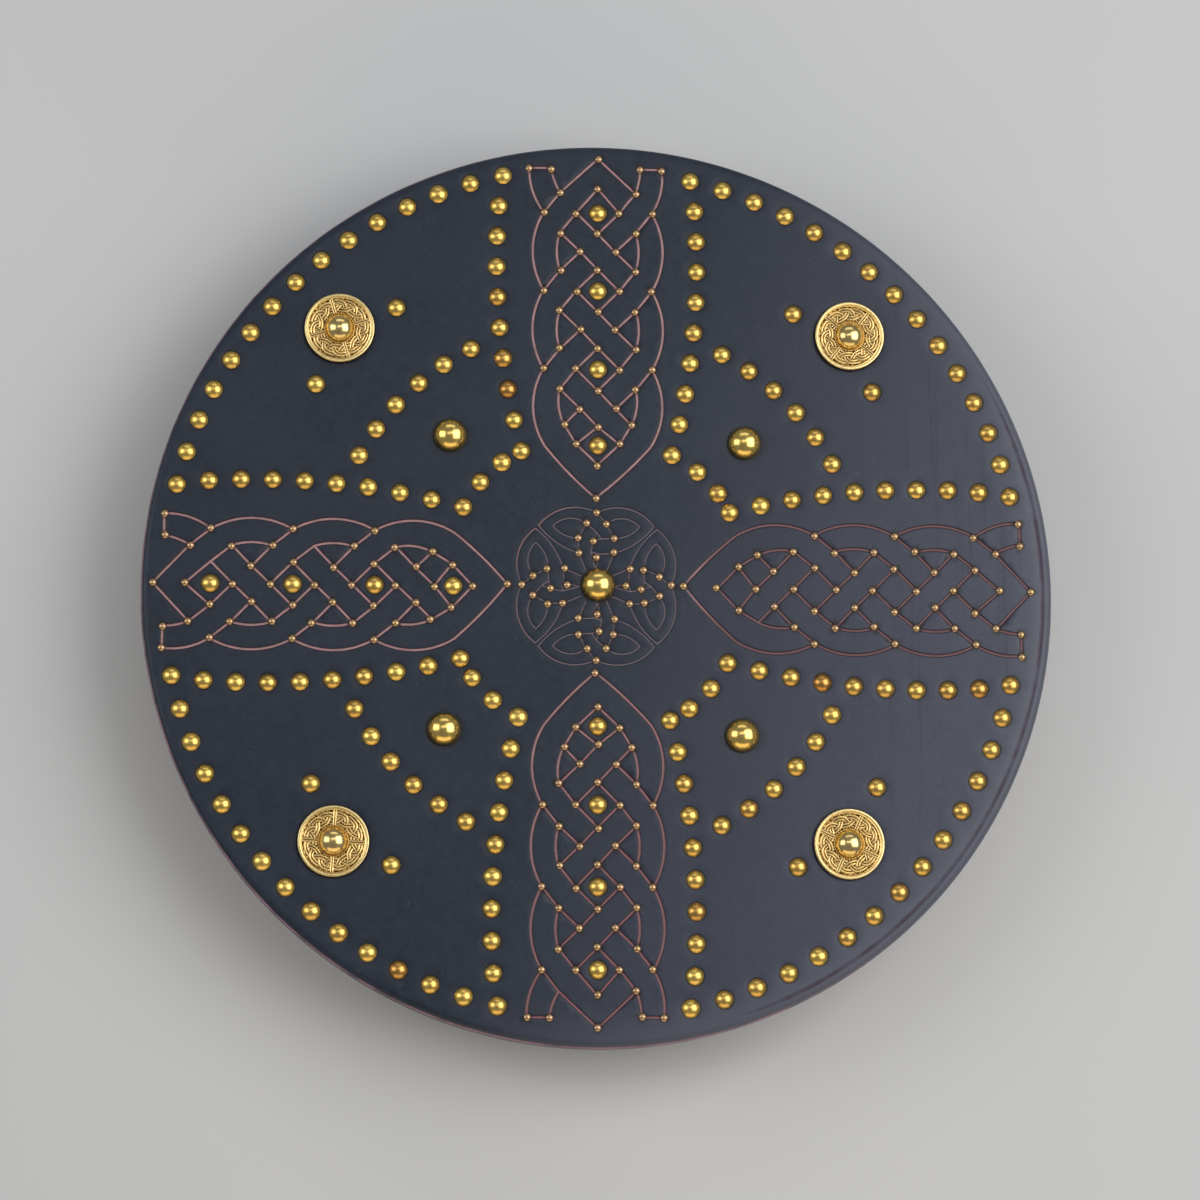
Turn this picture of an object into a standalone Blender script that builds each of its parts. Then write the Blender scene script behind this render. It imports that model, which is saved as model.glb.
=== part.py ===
"""A targe: a round, leather-faced wooden shield with tooled knotwork, brass nails, bosses and roundels.

The shield lies on its back with its face up, carried by its arm strap and its hand grip.
The origin is at the disc's centre, on the floor. +Z comes out of the face, and +Y is the
top of the design. Lengths are in metres. Each piece that touches another keeps GAP to it.
"""

import math

import bpy
import numpy as np
from mathutils import Vector
from mathutils.geometry import delaunay_2d_cdt

# Board, leather facing and lining
TARGE_RADIUS = 0.254
BOARD_THICKNESS = 0.0125
LEATHER_THICKNESS = 0.0026
LINING_THICKNESS = 0.0018
TURN_OVER_WIDTH = 0.030
SHOULDER_RADIUS = 0.0045
HEM_ROUNDING = 0.0012
RIM_SIDES = 60
GAP = 0.0003

# Arm strap and hand grip: both stand equally far off the back, so that the shield lies level
CARRY_DEPTH = 0.047
CARRY_X = 0.108
BOW_FLAT_LENGTH = 0.078
BOW_RAMP_LENGTH = 0.036
TAB_LENGTH = 0.040
STRAP_WIDTH = 0.058
STRAP_THICKNESS = 0.0042
GRIP_TAB_WIDTH = 0.030
GRIP_TAB_THICKNESS = 0.0045
GRIP_HANDLE_WIDTH = 0.025
GRIP_HANDLE_THICKNESS = 0.017
STRAP_RIVET_SPACING = 0.034
GRIP_RIVET_SPACING = 0.018

# Brass on the face: nails, domed bosses, cast roundels and the stud in the middle of each
NAIL_RADIUS = 0.0050
NAIL_HEIGHT = 0.0027
NAIL_SIDES = 6
BOSS_RADIUS = 0.0092
BOSS_HEIGHT = 0.0078
BOSS_SHANK_RADIUS = 0.0020
ROUNDEL_RADIUS = 0.0197
ROUNDEL_FIELD = 0.0012
ROUNDEL_RIM_HEIGHT = 0.0026
ROUNDEL_RELIEF = 0.0007
STUD_RADIUS = 0.0077
STUD_HEIGHT = 0.0062
STUD_SHANK_RADIUS = 0.0020
RIVET_RADIUS = 0.0058
RIVET_HEIGHT = 0.0026
RIVET_SHANK_RADIUS = 0.0018
HOLE_CLEARANCE = 0.0004
SHANK_SIDES = 6

# The whole pattern sits a little off the disc's middle, and each quarter's rows a little off that
PATTERN_SHIFT = Vector((-0.00265, 0.0018))
ROW_SLIPS = {
    "upper_right": Vector((0.0005, -0.0005)),
    "upper_left": Vector((0.0008, 0.0008)),
    "lower_left": Vector((-0.0003, 0.0004)),
    "lower_right": Vector((-0.0010, -0.0008)),
}
LOW_RIGHT_ROUNDEL_SLIP = Vector((-0.0033, 0.0))

# Rows of nails, one design in each quarter. Their places are shares of the rim row's radius.
RIM_ROW_INSET = 0.0150
RIM_ROW_NAILS = 15
ARM_ROW_NAILS = 9
ARM_ROW_OFFSET = 0.237
ARM_ROW_WIDEST = 0.774
ARM_ROW_INNER_END = 0.312
ARM_ROW_CLOSING_IN = 0.060
DIAGONAL_NAILS = 6
DIAGONAL_RADIUS = 0.629
DIAGONAL_HALF_ANGLE = math.radians(16.9)
CLOSING_RADIUS = 0.361
CLOSING_ANGLE = math.radians(43.5)
CLOSING_HALF_ANGLE = math.radians(5.5)
QUARTER_BOSS_RADIUS = 0.488
QUARTER_BOSS_ANGLE = math.radians(44.2)
ROUNDEL_RING_RADIUS = 0.849
FLANK_RADIUS = 0.804
FLANK_HALF_ANGLE = math.radians(9.4)

# Knotwork arms: a plait of four strands, measured inwards from its outer end
KNOT_INSET = 0.0095
CROSSING_ROWS = 3
FIRST_CROSSING = 0.0316
CROSSING_PITCH = 0.0452
COLUMN_LEFT = -0.0201
COLUMN_MIDDLE = 0.0013
COLUMN_RIGHT = 0.0226
SIDE_HALF_LENGTH = 0.0116
SIDE_HALF_WIDTH = 0.0092
MIDDLE_HALF_LENGTH = 0.0104
MIDDLE_HALF_WIDTH = 0.0099
CAP_INSET = 0.0058
CAP_INNER_OFFSET = 0.0253
CAP_OUTER_OFFSET = 0.0375
CAP_INNER_BULGE = 0.0007
CAP_OUTER_BULGE = 0.0024
POINT_INSET = 0.0176
SCALLOP_BULGE = 0.0062
WAIST_BULGE = 0.0018
SPEARHEAD_SHOULDER = 0.1538
SPEARHEAD_SIDE = 0.1648
SPEARHEAD_TIP = 0.1764
SPEARHEAD_HALF_WIDTH = 0.0189
SPEARHEAD_NECK = 0.0122
BLADE_SHOULDER = 0.1663
BLADE_HALF_WIDTH = 0.0296
BLADE_SIDE_BULGE = 0.0010
BLADE_TIP = 0.1954
SPEARHEAD_NAIL = 0.1655
GROOVE_HALF_WIDTH = 0.0009
GROOVE_DEPTH = 0.0008

# Knot in the centre: a ring of four three-cornered knots. Their points are shares of its radius.
CENTRE_KNOT_RADIUS = 0.0446
CENTRE_KNOT_SHIFT = PATTERN_SHIFT + Vector((0.0005, -0.0006))
CENTRE_BOSS_SHIFT = PATTERN_SHIFT + Vector((0.0014, 0.0))
CENTRE_GROOVE_HALF_WIDTH = 0.0006
CENTRE_GROOVE_DEPTH = 0.0005
LOBE_TIP = (0.722, 0.762)
LENS_TIP = (0.543, 0.754)
OUTER_CROSSING_TOP = (0.011, 0.929)
OUTER_CROSSING_SIDE = (0.127, 0.789)
OUTER_CROSSING_FOOT = (0.0, 0.684)
SIDE_CROSSING_TOP = (0.219, 0.604)
SIDE_CROSSING_FOOT = (0.222, 0.416)
INNER_CORNER_LEFT = (-0.036, 0.569)
INNER_CORNER_RIGHT = (0.060, 0.596)
LOWER_CORNER_LEFT = (-0.067, 0.429)
LOWER_CORNER_RIGHT = (0.042, 0.404)
FOOT_OUTER = (0.128, 0.189)
FOOT_INNER = (-0.010, 0.209)
LOBE_BULGE = 0.137
LENS_BULGE = 0.084
LOBE_SIDE_BULGE = 0.049
LENS_SIDE_BULGE = 0.042

# Levels, worked out from the floor up
LINING_LOW = CARRY_DEPTH + GAP
LINING_HIGH = LINING_LOW + LINING_THICKNESS
BOARD_LOW = LINING_HIGH + GAP
BOARD_MIDDLE = BOARD_LOW + BOARD_THICKNESS / 2
BOARD_HIGH = BOARD_LOW + BOARD_THICKNESS
FACE = BOARD_HIGH + GAP + LEATHER_THICKNESS
RIM_ROW_RADIUS = TARGE_RADIUS - RIM_ROW_INSET

MATERIALS = {
    "black_leather": ((0.026, 0.030, 0.040), 0.55, 0.0),
    "board_wood": ((0.30, 0.19, 0.10), 0.70, 0.0),
    "lining_leather": ((0.23, 0.13, 0.07), 0.75, 0.0),
    "strap_leather": ((0.11, 0.055, 0.03), 0.60, 0.0),
    "brass": ((0.71, 0.49, 0.16), 0.25, 1.0),
    "antique_brass": ((0.56, 0.41, 0.17), 0.35, 1.0),
}


def make_material(name):
    """Return the named Principled material, made on first use."""
    material = bpy.data.materials.get(name)
    if material is None:
        colour, roughness, metallic = MATERIALS[name]
        material = bpy.data.materials.new(name)
        material.use_nodes = True
        shader = material.node_tree.nodes["Principled BSDF"]
        shader.inputs["Base Color"].default_value = (*colour, 1.0)
        shader.inputs["Roughness"].default_value = roughness
        shader.inputs["Metallic"].default_value = metallic
    return material


def add_object(name, mesh, material, smooth_degrees=30.0):
    """Put a mesh in the scene as one shaded object."""
    mesh.shade_smooth()
    mesh.set_sharp_from_angle(angle=math.radians(smooth_degrees))
    if not mesh.materials:
        mesh.materials.append(make_material(material))
    piece = bpy.data.objects.new(name, mesh)
    bpy.context.scene.collection.objects.link(piece)
    return piece


class Shell:
    """Points and faces of one closed piece."""

    def __init__(self):
        self.points = []
        self.faces = []

    def add_ring(self, points):
        """Add a ring of points and return their numbers."""
        first = len(self.points)
        self.points.extend(points)
        return list(range(first, len(self.points)))

    def bridge(self, ring, next_ring):
        """Join two rings of equal length, going down the outside of a counter-clockwise ring."""
        count = len(ring)
        for i in range(count):
            j = (i + 1) % count
            self.faces.append((ring[i], next_ring[i], next_ring[j], ring[j]))

    def mesh(self, name):
        mesh = bpy.data.meshes.new(name)
        mesh.from_pydata(self.points, [], self.faces)
        mesh.validate()
        return mesh


def circle(radius, sides, height):
    """Points of a level circle, counter-clockwise seen from above."""
    step = 2 * math.pi / sides
    return [(radius * math.cos(i * step), radius * math.sin(i * step), height) for i in range(sides)]


def turned(name, profile, sides):
    """Turn a profile of (radius, height) pairs, from the top of the axis to its foot, into a closed mesh."""
    shell = Shell()
    rings = []
    for radius, height in profile:
        if radius == 0.0:
            rings.append(shell.add_ring([(0.0, 0.0, height)]))
        else:
            rings.append(shell.add_ring(circle(radius, sides, height)))
    for ring, next_ring in zip(rings, rings[1:]):
        if len(ring) == 1:
            for i in range(sides):
                shell.faces.append((ring[0], next_ring[i], next_ring[(i + 1) % sides]))
        elif len(next_ring) == 1:
            for i in range(sides):
                shell.faces.append((ring[i], next_ring[0], ring[(i + 1) % sides]))
        else:
            shell.bridge(ring, next_ring)
    return shell.mesh(name)


def dome_profile(radius, height, levels):
    """A quarter round from the top of a dome to its foot."""
    angles = [0.5 * math.pi * level / levels for level in range(levels)]
    return [(radius * math.sin(angle), height * math.cos(angle)) for angle in angles] + [(radius, 0.0)]


def domed_fixing(name, radius, height, shank_radius, shank_length, sides, levels):
    """A domed head with its flat underside at height 0, on a round shank."""
    profile = dome_profile(radius, height, levels)
    profile += [(shank_radius, 0.0), (shank_radius, -shank_length), (0.0, -shank_length)]
    return turned(name, profile, sides)


# Places of the nails, bosses and roundels


def polar(radius, angle):
    return Vector((radius * math.cos(angle), radius * math.sin(angle)))


def arm_row_offset(distance):
    """Sideways offset of an arm row at a distance along the arm, both in shares of the rim row's radius."""
    way_in = (ARM_ROW_WIDEST - distance) / (ARM_ROW_WIDEST - ARM_ROW_INNER_END)
    return ARM_ROW_OFFSET - ARM_ROW_CLOSING_IN * way_in ** 2


def quarter_rows():
    """Nails in rows of the upper right quarter."""
    first_angle = math.asin(arm_row_offset(1.0))
    sweep = 0.5 * math.pi - 2 * first_angle
    rows = []
    for i in range(RIM_ROW_NAILS):
        rows.append(polar(1.0, first_angle + sweep * i / (RIM_ROW_NAILS - 1)))
    outer_end = math.cos(first_angle)
    for i in range(1, ARM_ROW_NAILS + 1):
        distance = outer_end + (ARM_ROW_INNER_END - outer_end) * i / ARM_ROW_NAILS
        rows.append(Vector((distance, arm_row_offset(distance))))
        rows.append(Vector((arm_row_offset(distance), distance)))
    middle = math.radians(45)
    for i in range(DIAGONAL_NAILS):
        turn = DIAGONAL_HALF_ANGLE * (2 * i / (DIAGONAL_NAILS - 1) - 1)
        rows.append(polar(DIAGONAL_RADIUS, middle + turn))
    for side in (-1, 1):
        rows.append(polar(CLOSING_RADIUS, CLOSING_ANGLE + side * CLOSING_HALF_ANGLE))
    return [point * RIM_ROW_RADIUS for point in rows]


def quarters():
    """The four quarters as (name, function). Opposite quarters are alike, and neighbours are mirrored."""
    return (
        ("upper_right", lambda p: Vector((p.x, p.y))),
        ("upper_left", lambda p: Vector((-p.y, p.x))),
        ("lower_left", lambda p: Vector((-p.x, -p.y))),
        ("lower_right", lambda p: Vector((p.y, -p.x))),
    )


def row_nails():
    """Places of all nails in rows, which are one with the facing."""
    places = []
    for quarter, turn in quarters():
        shift = PATTERN_SHIFT + ROW_SLIPS[quarter]
        places += [turn(point) + shift for point in quarter_rows()]
    return places


def arms():
    """The four knotwork arms as (name, function from along and across the arm to the face)."""
    return (
        ("top", lambda u, v: Vector((v, u))),
        ("left", lambda u, v: Vector((-u, -v))),
        ("bottom", lambda u, v: Vector((v, -u))),
        ("right", lambda u, v: Vector((u, -v))),
    )


def lone_nails():
    """Nails that stand alone: beside the roundels, and down the middle of three arms."""
    places = {}
    for quarter, turn in quarters():
        for side, name in ((-1, "a"), (1, "b")):
            point = polar(FLANK_RADIUS * RIM_ROW_RADIUS, math.radians(45) + side * FLANK_HALF_ANGLE)
            places[f"flank_nail_{quarter}_{name}"] = turn(point) + PATTERN_SHIFT
    depths = [FIRST_CROSSING + i * CROSSING_PITCH for i in range(CROSSING_ROWS)] + [SPEARHEAD_NAIL]
    for arm, place in arms():
        if arm == "right":
            continue
        for i, depth in enumerate(depths):
            point = place(TARGE_RADIUS - KNOT_INSET - depth, COLUMN_MIDDLE)
            places[f"knot_nail_{arm}_{i + 1}"] = point + PATTERN_SHIFT
    return places


def bosses():
    places = {"boss_centre": CENTRE_BOSS_SHIFT}
    for quarter, turn in quarters():
        point = polar(QUARTER_BOSS_RADIUS * RIM_ROW_RADIUS, QUARTER_BOSS_ANGLE)
        places[f"boss_{quarter}"] = turn(point) + PATTERN_SHIFT
    return places


def roundels():
    places = {}
    for quarter, turn in quarters():
        point = polar(ROUNDEL_RING_RADIUS * RIM_ROW_RADIUS, math.radians(45))
        places[quarter] = turn(point) + PATTERN_SHIFT
    places["lower_right"] += LOW_RIGHT_ROUNDEL_SLIP
    return places


# Lines of the knotwork


def arc(start, end, bulge=0.0, steps=3):
    """Points from start to end, bulging to the left of the way by the given height."""
    start = Vector(start)
    end = Vector(end)
    if bulge == 0.0:
        return [start, end]
    chord = end - start
    half = chord.length / 2
    radius = (half ** 2 + bulge ** 2) / (2 * abs(bulge))
    half_angle = 2 * math.atan(abs(bulge) / half)
    left = Vector((-chord.y, chord.x)).normalized() * math.copysign(1.0, bulge)
    middle = (start + end) / 2 + left * (abs(bulge) - radius)
    along = chord.normalized()
    points = []
    for i in range(steps + 1):
        angle = half_angle * (2 * i / steps - 1)
        points.append(middle + (along * math.sin(angle) + left * math.cos(angle)) * radius)
    points[0] = start
    points[-1] = end
    return points


def crossing(depth, column, half_length, half_width):
    """Corners of one crossing: outer end, right, inner end and left."""
    return {
        "out": Vector((-depth + half_length, column)),
        "right": Vector((-depth, column + half_width)),
        "in": Vector((-depth - half_length, column)),
        "left": Vector((-depth, column - half_width)),
    }


def arm_lines():
    """Lines of one knotwork arm, as points (outwards along the arm, to its right), from its outer end."""
    left, right, middle = [], [], []
    for i in range(CROSSING_ROWS):
        depth = FIRST_CROSSING + i * CROSSING_PITCH
        left.append(crossing(depth, COLUMN_LEFT, SIDE_HALF_LENGTH, SIDE_HALF_WIDTH))
        right.append(crossing(depth, COLUMN_RIGHT, SIDE_HALF_LENGTH, SIDE_HALF_WIDTH))
        inner = depth + CROSSING_PITCH / 2
        middle.append(crossing(inner, COLUMN_MIDDLE, MIDDLE_HALF_LENGTH, MIDDLE_HALF_WIDTH))

    lines = []
    tip = Vector((0.0, COLUMN_MIDDLE))
    point = Vector((-POINT_INSET, COLUMN_MIDDLE))
    lines += [arc(tip, left[0]["out"]), arc(tip, right[0]["out"])]
    lines += [arc(point, left[0]["right"]), arc(point, right[0]["left"])]
    for column, side, outer_corner in ((left, -1, "left"), (right, 1, "right")):
        inner_cap = Vector((-CAP_INSET, side * CAP_INNER_OFFSET))
        outer_cap = Vector((-CAP_INSET, side * CAP_OUTER_OFFSET))
        lines.append(arc(inner_cap, outer_cap))
        lines.append(arc(inner_cap, column[0]["out"], -side * CAP_INNER_BULGE, 2))
        lines.append(arc(outer_cap, column[0][outer_corner], -side * CAP_OUTER_BULGE, 2))

    for i in range(CROSSING_ROWS):
        for column in (left, right):
            lines += [arc(column[i]["out"], column[i]["left"]), arc(column[i]["right"], column[i]["in"])]
        lines += [arc(middle[i]["out"], middle[i]["right"]), arc(middle[i]["left"], middle[i]["in"])]
        lines += [arc(left[i]["right"], middle[i]["out"]), arc(left[i]["in"], middle[i]["left"])]
        lines += [arc(right[i]["left"], middle[i]["out"]), arc(right[i]["in"], middle[i]["right"])]
    for i in range(CROSSING_ROWS - 1):
        below = i + 1
        lines += [arc(middle[i]["right"], right[below]["out"]), arc(middle[i]["in"], right[below]["left"])]
        lines += [arc(middle[i]["in"], left[below]["right"]), arc(middle[i]["left"], left[below]["out"])]
        lines.append(arc(left[i]["in"], left[below]["out"], WAIST_BULGE, 2))
        lines.append(arc(right[i]["in"], right[below]["out"], -WAIST_BULGE, 2))
        lines.append(arc(left[i]["left"], left[below]["left"], SCALLOP_BULGE))
        lines.append(arc(right[i]["right"], right[below]["right"], -SCALLOP_BULGE))

    last = CROSSING_ROWS - 1
    spear_tip = Vector((-SPEARHEAD_TIP, COLUMN_MIDDLE))
    blade_tip = Vector((-BLADE_TIP, 0.0))
    for column, side, corner in ((left, -1, "left"), (right, 1, "right")):
        shoulder = Vector((-SPEARHEAD_SHOULDER, COLUMN_MIDDLE + side * SPEARHEAD_HALF_WIDTH))
        neck = Vector((-SPEARHEAD_SIDE, COLUMN_MIDDLE + side * SPEARHEAD_NECK))
        blade_shoulder = Vector((-BLADE_SHOULDER, COLUMN_MIDDLE + side * BLADE_HALF_WIDTH))
        lines.append(arc(middle[last][corner], shoulder))
        lines.append(arc(middle[last]["in"], neck))
        lines += [arc(shoulder, neck), arc(neck, spear_tip)]
        lines.append(arc(column[last]["in"], shoulder, -side * WAIST_BULGE, 2))
        lines.append(arc(column[last][corner], blade_shoulder, -side * SCALLOP_BULGE))
        lines.append(arc(blade_shoulder, blade_tip, -side * BLADE_SIDE_BULGE, 2))
    return lines


def lobe_lines():
    """Lines of one lobe of the centre knot, as (across, outwards) shares of the knot's radius."""
    def left(point):
        return (-point[0], point[1])

    tip, lens, top = LOBE_TIP, LENS_TIP, OUTER_CROSSING_TOP
    side, foot = OUTER_CROSSING_SIDE, OUTER_CROSSING_FOOT
    high, low = SIDE_CROSSING_TOP, SIDE_CROSSING_FOOT
    return [
        arc(left(tip), top, LOBE_BULGE, 4), arc(tip, top, -LOBE_BULGE, 4),
        arc(left(lens), left(side), LENS_BULGE, 3), arc(lens, side, -LENS_BULGE, 3),
        arc(left(tip), left(low), -LOBE_SIDE_BULGE, 3), arc(tip, low, LOBE_SIDE_BULGE, 3),
        arc(left(lens), left(high), -LENS_SIDE_BULGE, 2), arc(lens, high, LENS_SIDE_BULGE, 2),
        arc(top, side), arc(side, high), arc(left(side), left(high)), arc(left(high), left(low)),
        arc(left(side), foot), arc(foot, INNER_CORNER_RIGHT), arc(foot, INNER_CORNER_LEFT),
        arc(INNER_CORNER_LEFT, INNER_CORNER_RIGHT), arc(INNER_CORNER_RIGHT, high),
        arc(INNER_CORNER_LEFT, LOWER_CORNER_LEFT), arc(LOWER_CORNER_LEFT, LOWER_CORNER_RIGHT),
        arc(LOWER_CORNER_RIGHT, low), arc(LOWER_CORNER_LEFT, FOOT_INNER),
        arc(LOWER_CORNER_RIGHT, FOOT_INNER), arc(left(low), left(FOOT_OUTER)), arc(low, FOOT_OUTER),
    ]


def all_arm_lines():
    lines = []
    for _, place in arms():
        for line in arm_lines():
            end = TARGE_RADIUS - KNOT_INSET
            lines.append([place(end + point.x, point.y) + PATTERN_SHIFT for point in line])
    return lines


def all_centre_lines():
    lines = []
    turns = (
        lambda p: Vector((p.x, p.y)),
        lambda p: Vector((-p.y, p.x)),
        lambda p: Vector((-p.x, -p.y)),
        lambda p: Vector((p.y, p.x)),
    )
    for turn in turns:
        for line in lobe_lines():
            lines.append([turn(point) * CENTRE_KNOT_RADIUS + CENTRE_KNOT_SHIFT for point in line])
    return lines


# The facing's surface


class GrooveNet:
    """V-shaped grooves along lines that meet at shared points, as points and edges for one triangulation."""

    WELD = 0.00005

    def __init__(self, lines, half_width, depth):
        self.half_width = half_width
        self.depth = depth
        self.nodes = []
        self.neighbours = []
        for line in lines:
            numbers = [self.node(point) for point in line]
            for a, b in zip(numbers, numbers[1:]):
                if a != b and b not in self.neighbours[a]:
                    self.neighbours[a].append(b)
                    self.neighbours[b].append(a)

    def node(self, point):
        for number, known in enumerate(self.nodes):
            if (known - point).length < self.WELD:
                return number
        self.nodes.append(point)
        self.neighbours.append([])
        return len(self.nodes) - 1

    def segments(self):
        for a, around in enumerate(self.neighbours):
            for b in around:
                if a < b:
                    yield a, b

    def outline(self):
        """Return points and edges: each groove's middle line, and its two banks with mitred corners."""
        points = list(self.nodes)
        edges = list(self.segments())
        banks = {}
        for a, around in enumerate(self.neighbours):
            here = self.nodes[a]
            ways = sorted((math.atan2(*(self.nodes[b] - here).yx), b) for b in around)
            for i, (angle, b) in enumerate(ways):
                next_angle, next_b = ways[(i + 1) % len(ways)]
                gap = (next_angle - angle) % (2 * math.pi) or 2 * math.pi
                if gap > 1.4 * math.pi:
                    first = here + polar(self.half_width, angle + math.pi / 2)
                    last = here + polar(self.half_width, next_angle - math.pi / 2)
                    tip = here + polar(self.half_width, angle + gap / 2)
                    banks[a, b, "left"] = len(points)
                    banks[a, next_b, "right"] = len(points) + 2
                    edges += [(len(points), len(points) + 1), (len(points) + 1, len(points) + 2)]
                    points += [first, tip, last]
                    continue
                reach = self.half_width / math.sin(gap / 2)
                longest = 0.4 * min((self.nodes[b] - here).length, (self.nodes[next_b] - here).length)
                banks[a, b, "left"] = banks[a, next_b, "right"] = len(points)
                points.append(here + polar(min(reach, max(longest, self.half_width)), angle + gap / 2))
        for a, b in self.segments():
            edges.append((banks[a, b, "left"], banks[b, a, "right"]))
            edges.append((banks[a, b, "right"], banks[b, a, "left"]))
        return points, edges

    def depth_at(self, points):
        """Depth of the groove at each point of an array."""
        ends = np.array([(*self.nodes[a], *self.nodes[b]) for a, b in self.segments()])
        start = ends[:, :2]
        way = ends[:, 2:] - start
        length = (way ** 2).sum(axis=1)
        from_start = points[:, None, :] - start
        along = np.clip((from_start * way).sum(axis=2) / length, 0.0, 1.0)
        distance = np.linalg.norm(from_start - along[:, :, None] * way, axis=2).min(axis=1)
        return self.depth * np.clip(1.0 - distance / self.half_width, 0.0, None)


def nail_rings(place):
    """The top of one fused nail head, and the points and edges round its foot."""
    points = [place]
    for i in range(NAIL_SIDES):
        points.append(place + polar(NAIL_RADIUS, 2 * math.pi * i / NAIL_SIDES))
    edges = [(1 + i, 1 + (i + 1) % NAIL_SIDES) for i in range(NAIL_SIDES)]
    return points, edges


def dome_height(distance):
    """Height of a nail head at a distance from its middle."""
    return NAIL_HEIGHT * np.sqrt(np.clip(1.0 - (distance / NAIL_RADIUS) ** 2, 0.0, None))


def face_sheet(rim):
    """Triangulate the tooled face inside its rim. Return points with heights, faces and the rim's numbers."""
    points = [Vector(point[:2]) for point in rim]
    edges = [(i, (i + 1) % len(rim)) for i in range(len(rim))]
    nets = (
        GrooveNet(all_arm_lines(), GROOVE_HALF_WIDTH, GROOVE_DEPTH),
        GrooveNet(all_centre_lines(), CENTRE_GROOVE_HALF_WIDTH, CENTRE_GROOVE_DEPTH),
    )
    nails = row_nails()
    outlines = [net.outline() for net in nets] + [nail_rings(place) for place in nails]
    for more_points, more_edges in outlines:
        first = len(points)
        points += more_points
        edges += [(first + a, first + b) for a, b in more_edges]

    flat, _, faces, origins, _, _ = delaunay_2d_cdt(points, edges, [], 0, 1e-6)
    numbers = {}
    for number, sources in enumerate(origins):
        for source in sources:
            numbers[source] = number
    ground = np.array([point[:] for point in flat])
    heights = np.full(len(ground), FACE)
    for net in nets:
        heights -= net.depth_at(ground)
    for nail in nails:
        heights += dome_height(np.linalg.norm(ground - np.array(nail), axis=1))
    upright = []
    for a, b, c in faces:
        turn = (flat[b] - flat[a]).cross(flat[c] - flat[a])
        upright.append((a, b, c) if turn > 0 else (a, c, b))
    solid_points = [(x, y, z) for (x, y), z in zip(ground, heights)]
    return solid_points, upright, [numbers[i] for i in range(len(rim))]


def facing_mesh():
    """The leather facing: tooled face, rounded edge, side, and the hem turned over onto the back."""
    shell = Shell()
    rim = circle(TARGE_RADIUS - SHOULDER_RADIUS, RIM_SIDES, FACE)
    points, faces, ring = face_sheet(rim)
    shell.add_ring(points)
    shell.faces += faces

    profile = []
    for share in (0.5, 1.0):
        angle = share * math.pi / 2
        profile.append((TARGE_RADIUS - SHOULDER_RADIUS * (1 - math.sin(angle)),
                        FACE - SHOULDER_RADIUS * (1 - math.cos(angle))))
    low = LINING_HIGH - LEATHER_THICKNESS
    profile += [(TARGE_RADIUS, low + HEM_ROUNDING), (TARGE_RADIUS - HEM_ROUNDING, low)]
    profile += [(TARGE_RADIUS - TURN_OVER_WIDTH, low), (TARGE_RADIUS - TURN_OVER_WIDTH, LINING_HIGH)]
    inner = TARGE_RADIUS - LEATHER_THICKNESS
    profile += [(inner, LINING_HIGH), (inner, BOARD_HIGH + GAP)]
    for radius, height in profile:
        next_ring = shell.add_ring(circle(radius, RIM_SIDES, height))
        shell.bridge(ring, next_ring)
        ring = next_ring
    shell.faces.append(tuple(reversed(ring)))
    return shell.mesh("facing")


# Pieces


def cylinders(name, places, low, high):
    """A hidden cutter: one upright prism round a circle for each (x, y, radius)."""
    shell = Shell()
    for x, y, radius in places:
        corner = radius / math.cos(math.pi / SHANK_SIDES)
        top = shell.add_ring([(px + x, py + y, pz) for px, py, pz in circle(corner, SHANK_SIDES, high)])
        foot = shell.add_ring([(px + x, py + y, pz) for px, py, pz in circle(corner, SHANK_SIDES, low)])
        shell.bridge(top, foot)
        shell.faces.append(tuple(top))
        shell.faces.append(tuple(reversed(foot)))
    cutter = add_object(name, shell.mesh(name), "brass")
    cutter.hide_render = True
    cutter.display_type = "WIRE"
    return cutter


def cut(piece, cutter):
    """Cut the cutter's holes in the piece."""
    boolean = piece.modifiers.new(cutter.name, "BOOLEAN")
    boolean.operation = "DIFFERENCE"
    boolean.solver = "EXACT"
    boolean.object = cutter


def make_disc(name, radius, low, high, material):
    profile = [(0.0, high), (radius, high), (radius, low), (0.0, low)]
    return add_object(name, turned(name, profile, RIM_SIDES), material)


def bow_path(thickness):
    """Middle line of a bow as (along, height, slope), from one tab over the flat to the other."""
    high = LINING_LOW - GAP - thickness / 2
    low = thickness / 2
    flat_end = BOW_FLAT_LENGTH / 2
    ramp_end = flat_end + BOW_RAMP_LENGTH
    half = [(0.0, low), (flat_end, low)]
    ramp_steps = 5
    for i in range(1, ramp_steps):
        share = i / ramp_steps
        half.append((flat_end + share * BOW_RAMP_LENGTH, low + (high - low) * share ** 2 * (3 - 2 * share)))
    half += [(ramp_end, high), (ramp_end + TAB_LENGTH, high)]
    return [(-along, height) for along, height in reversed(half[1:])] + half


def bow_mesh(name, tab_thickness, section):
    """A bow swept along its path. section(point) gives the corners as (across, up) from the middle line."""
    path = [Vector(point) for point in bow_path(tab_thickness)]
    shell = Shell()
    rings = []
    for i, here in enumerate(path):
        before = path[max(i - 1, 0)]
        after = path[min(i + 1, len(path) - 1)]
        way = (after - before).normalized()
        rise = Vector((-way.y, way.x))
        ring = []
        for across, up in section(here):
            point = here + rise * up
            ring.append((across, point.x, point.y))
        rings.append(shell.add_ring(ring))
    for ring, next_ring in zip(rings, rings[1:]):
        shell.bridge(ring, next_ring)
    shell.faces.append(tuple(rings[0]))
    shell.faces.append(tuple(reversed(rings[-1])))
    return shell.mesh(name)


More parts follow.
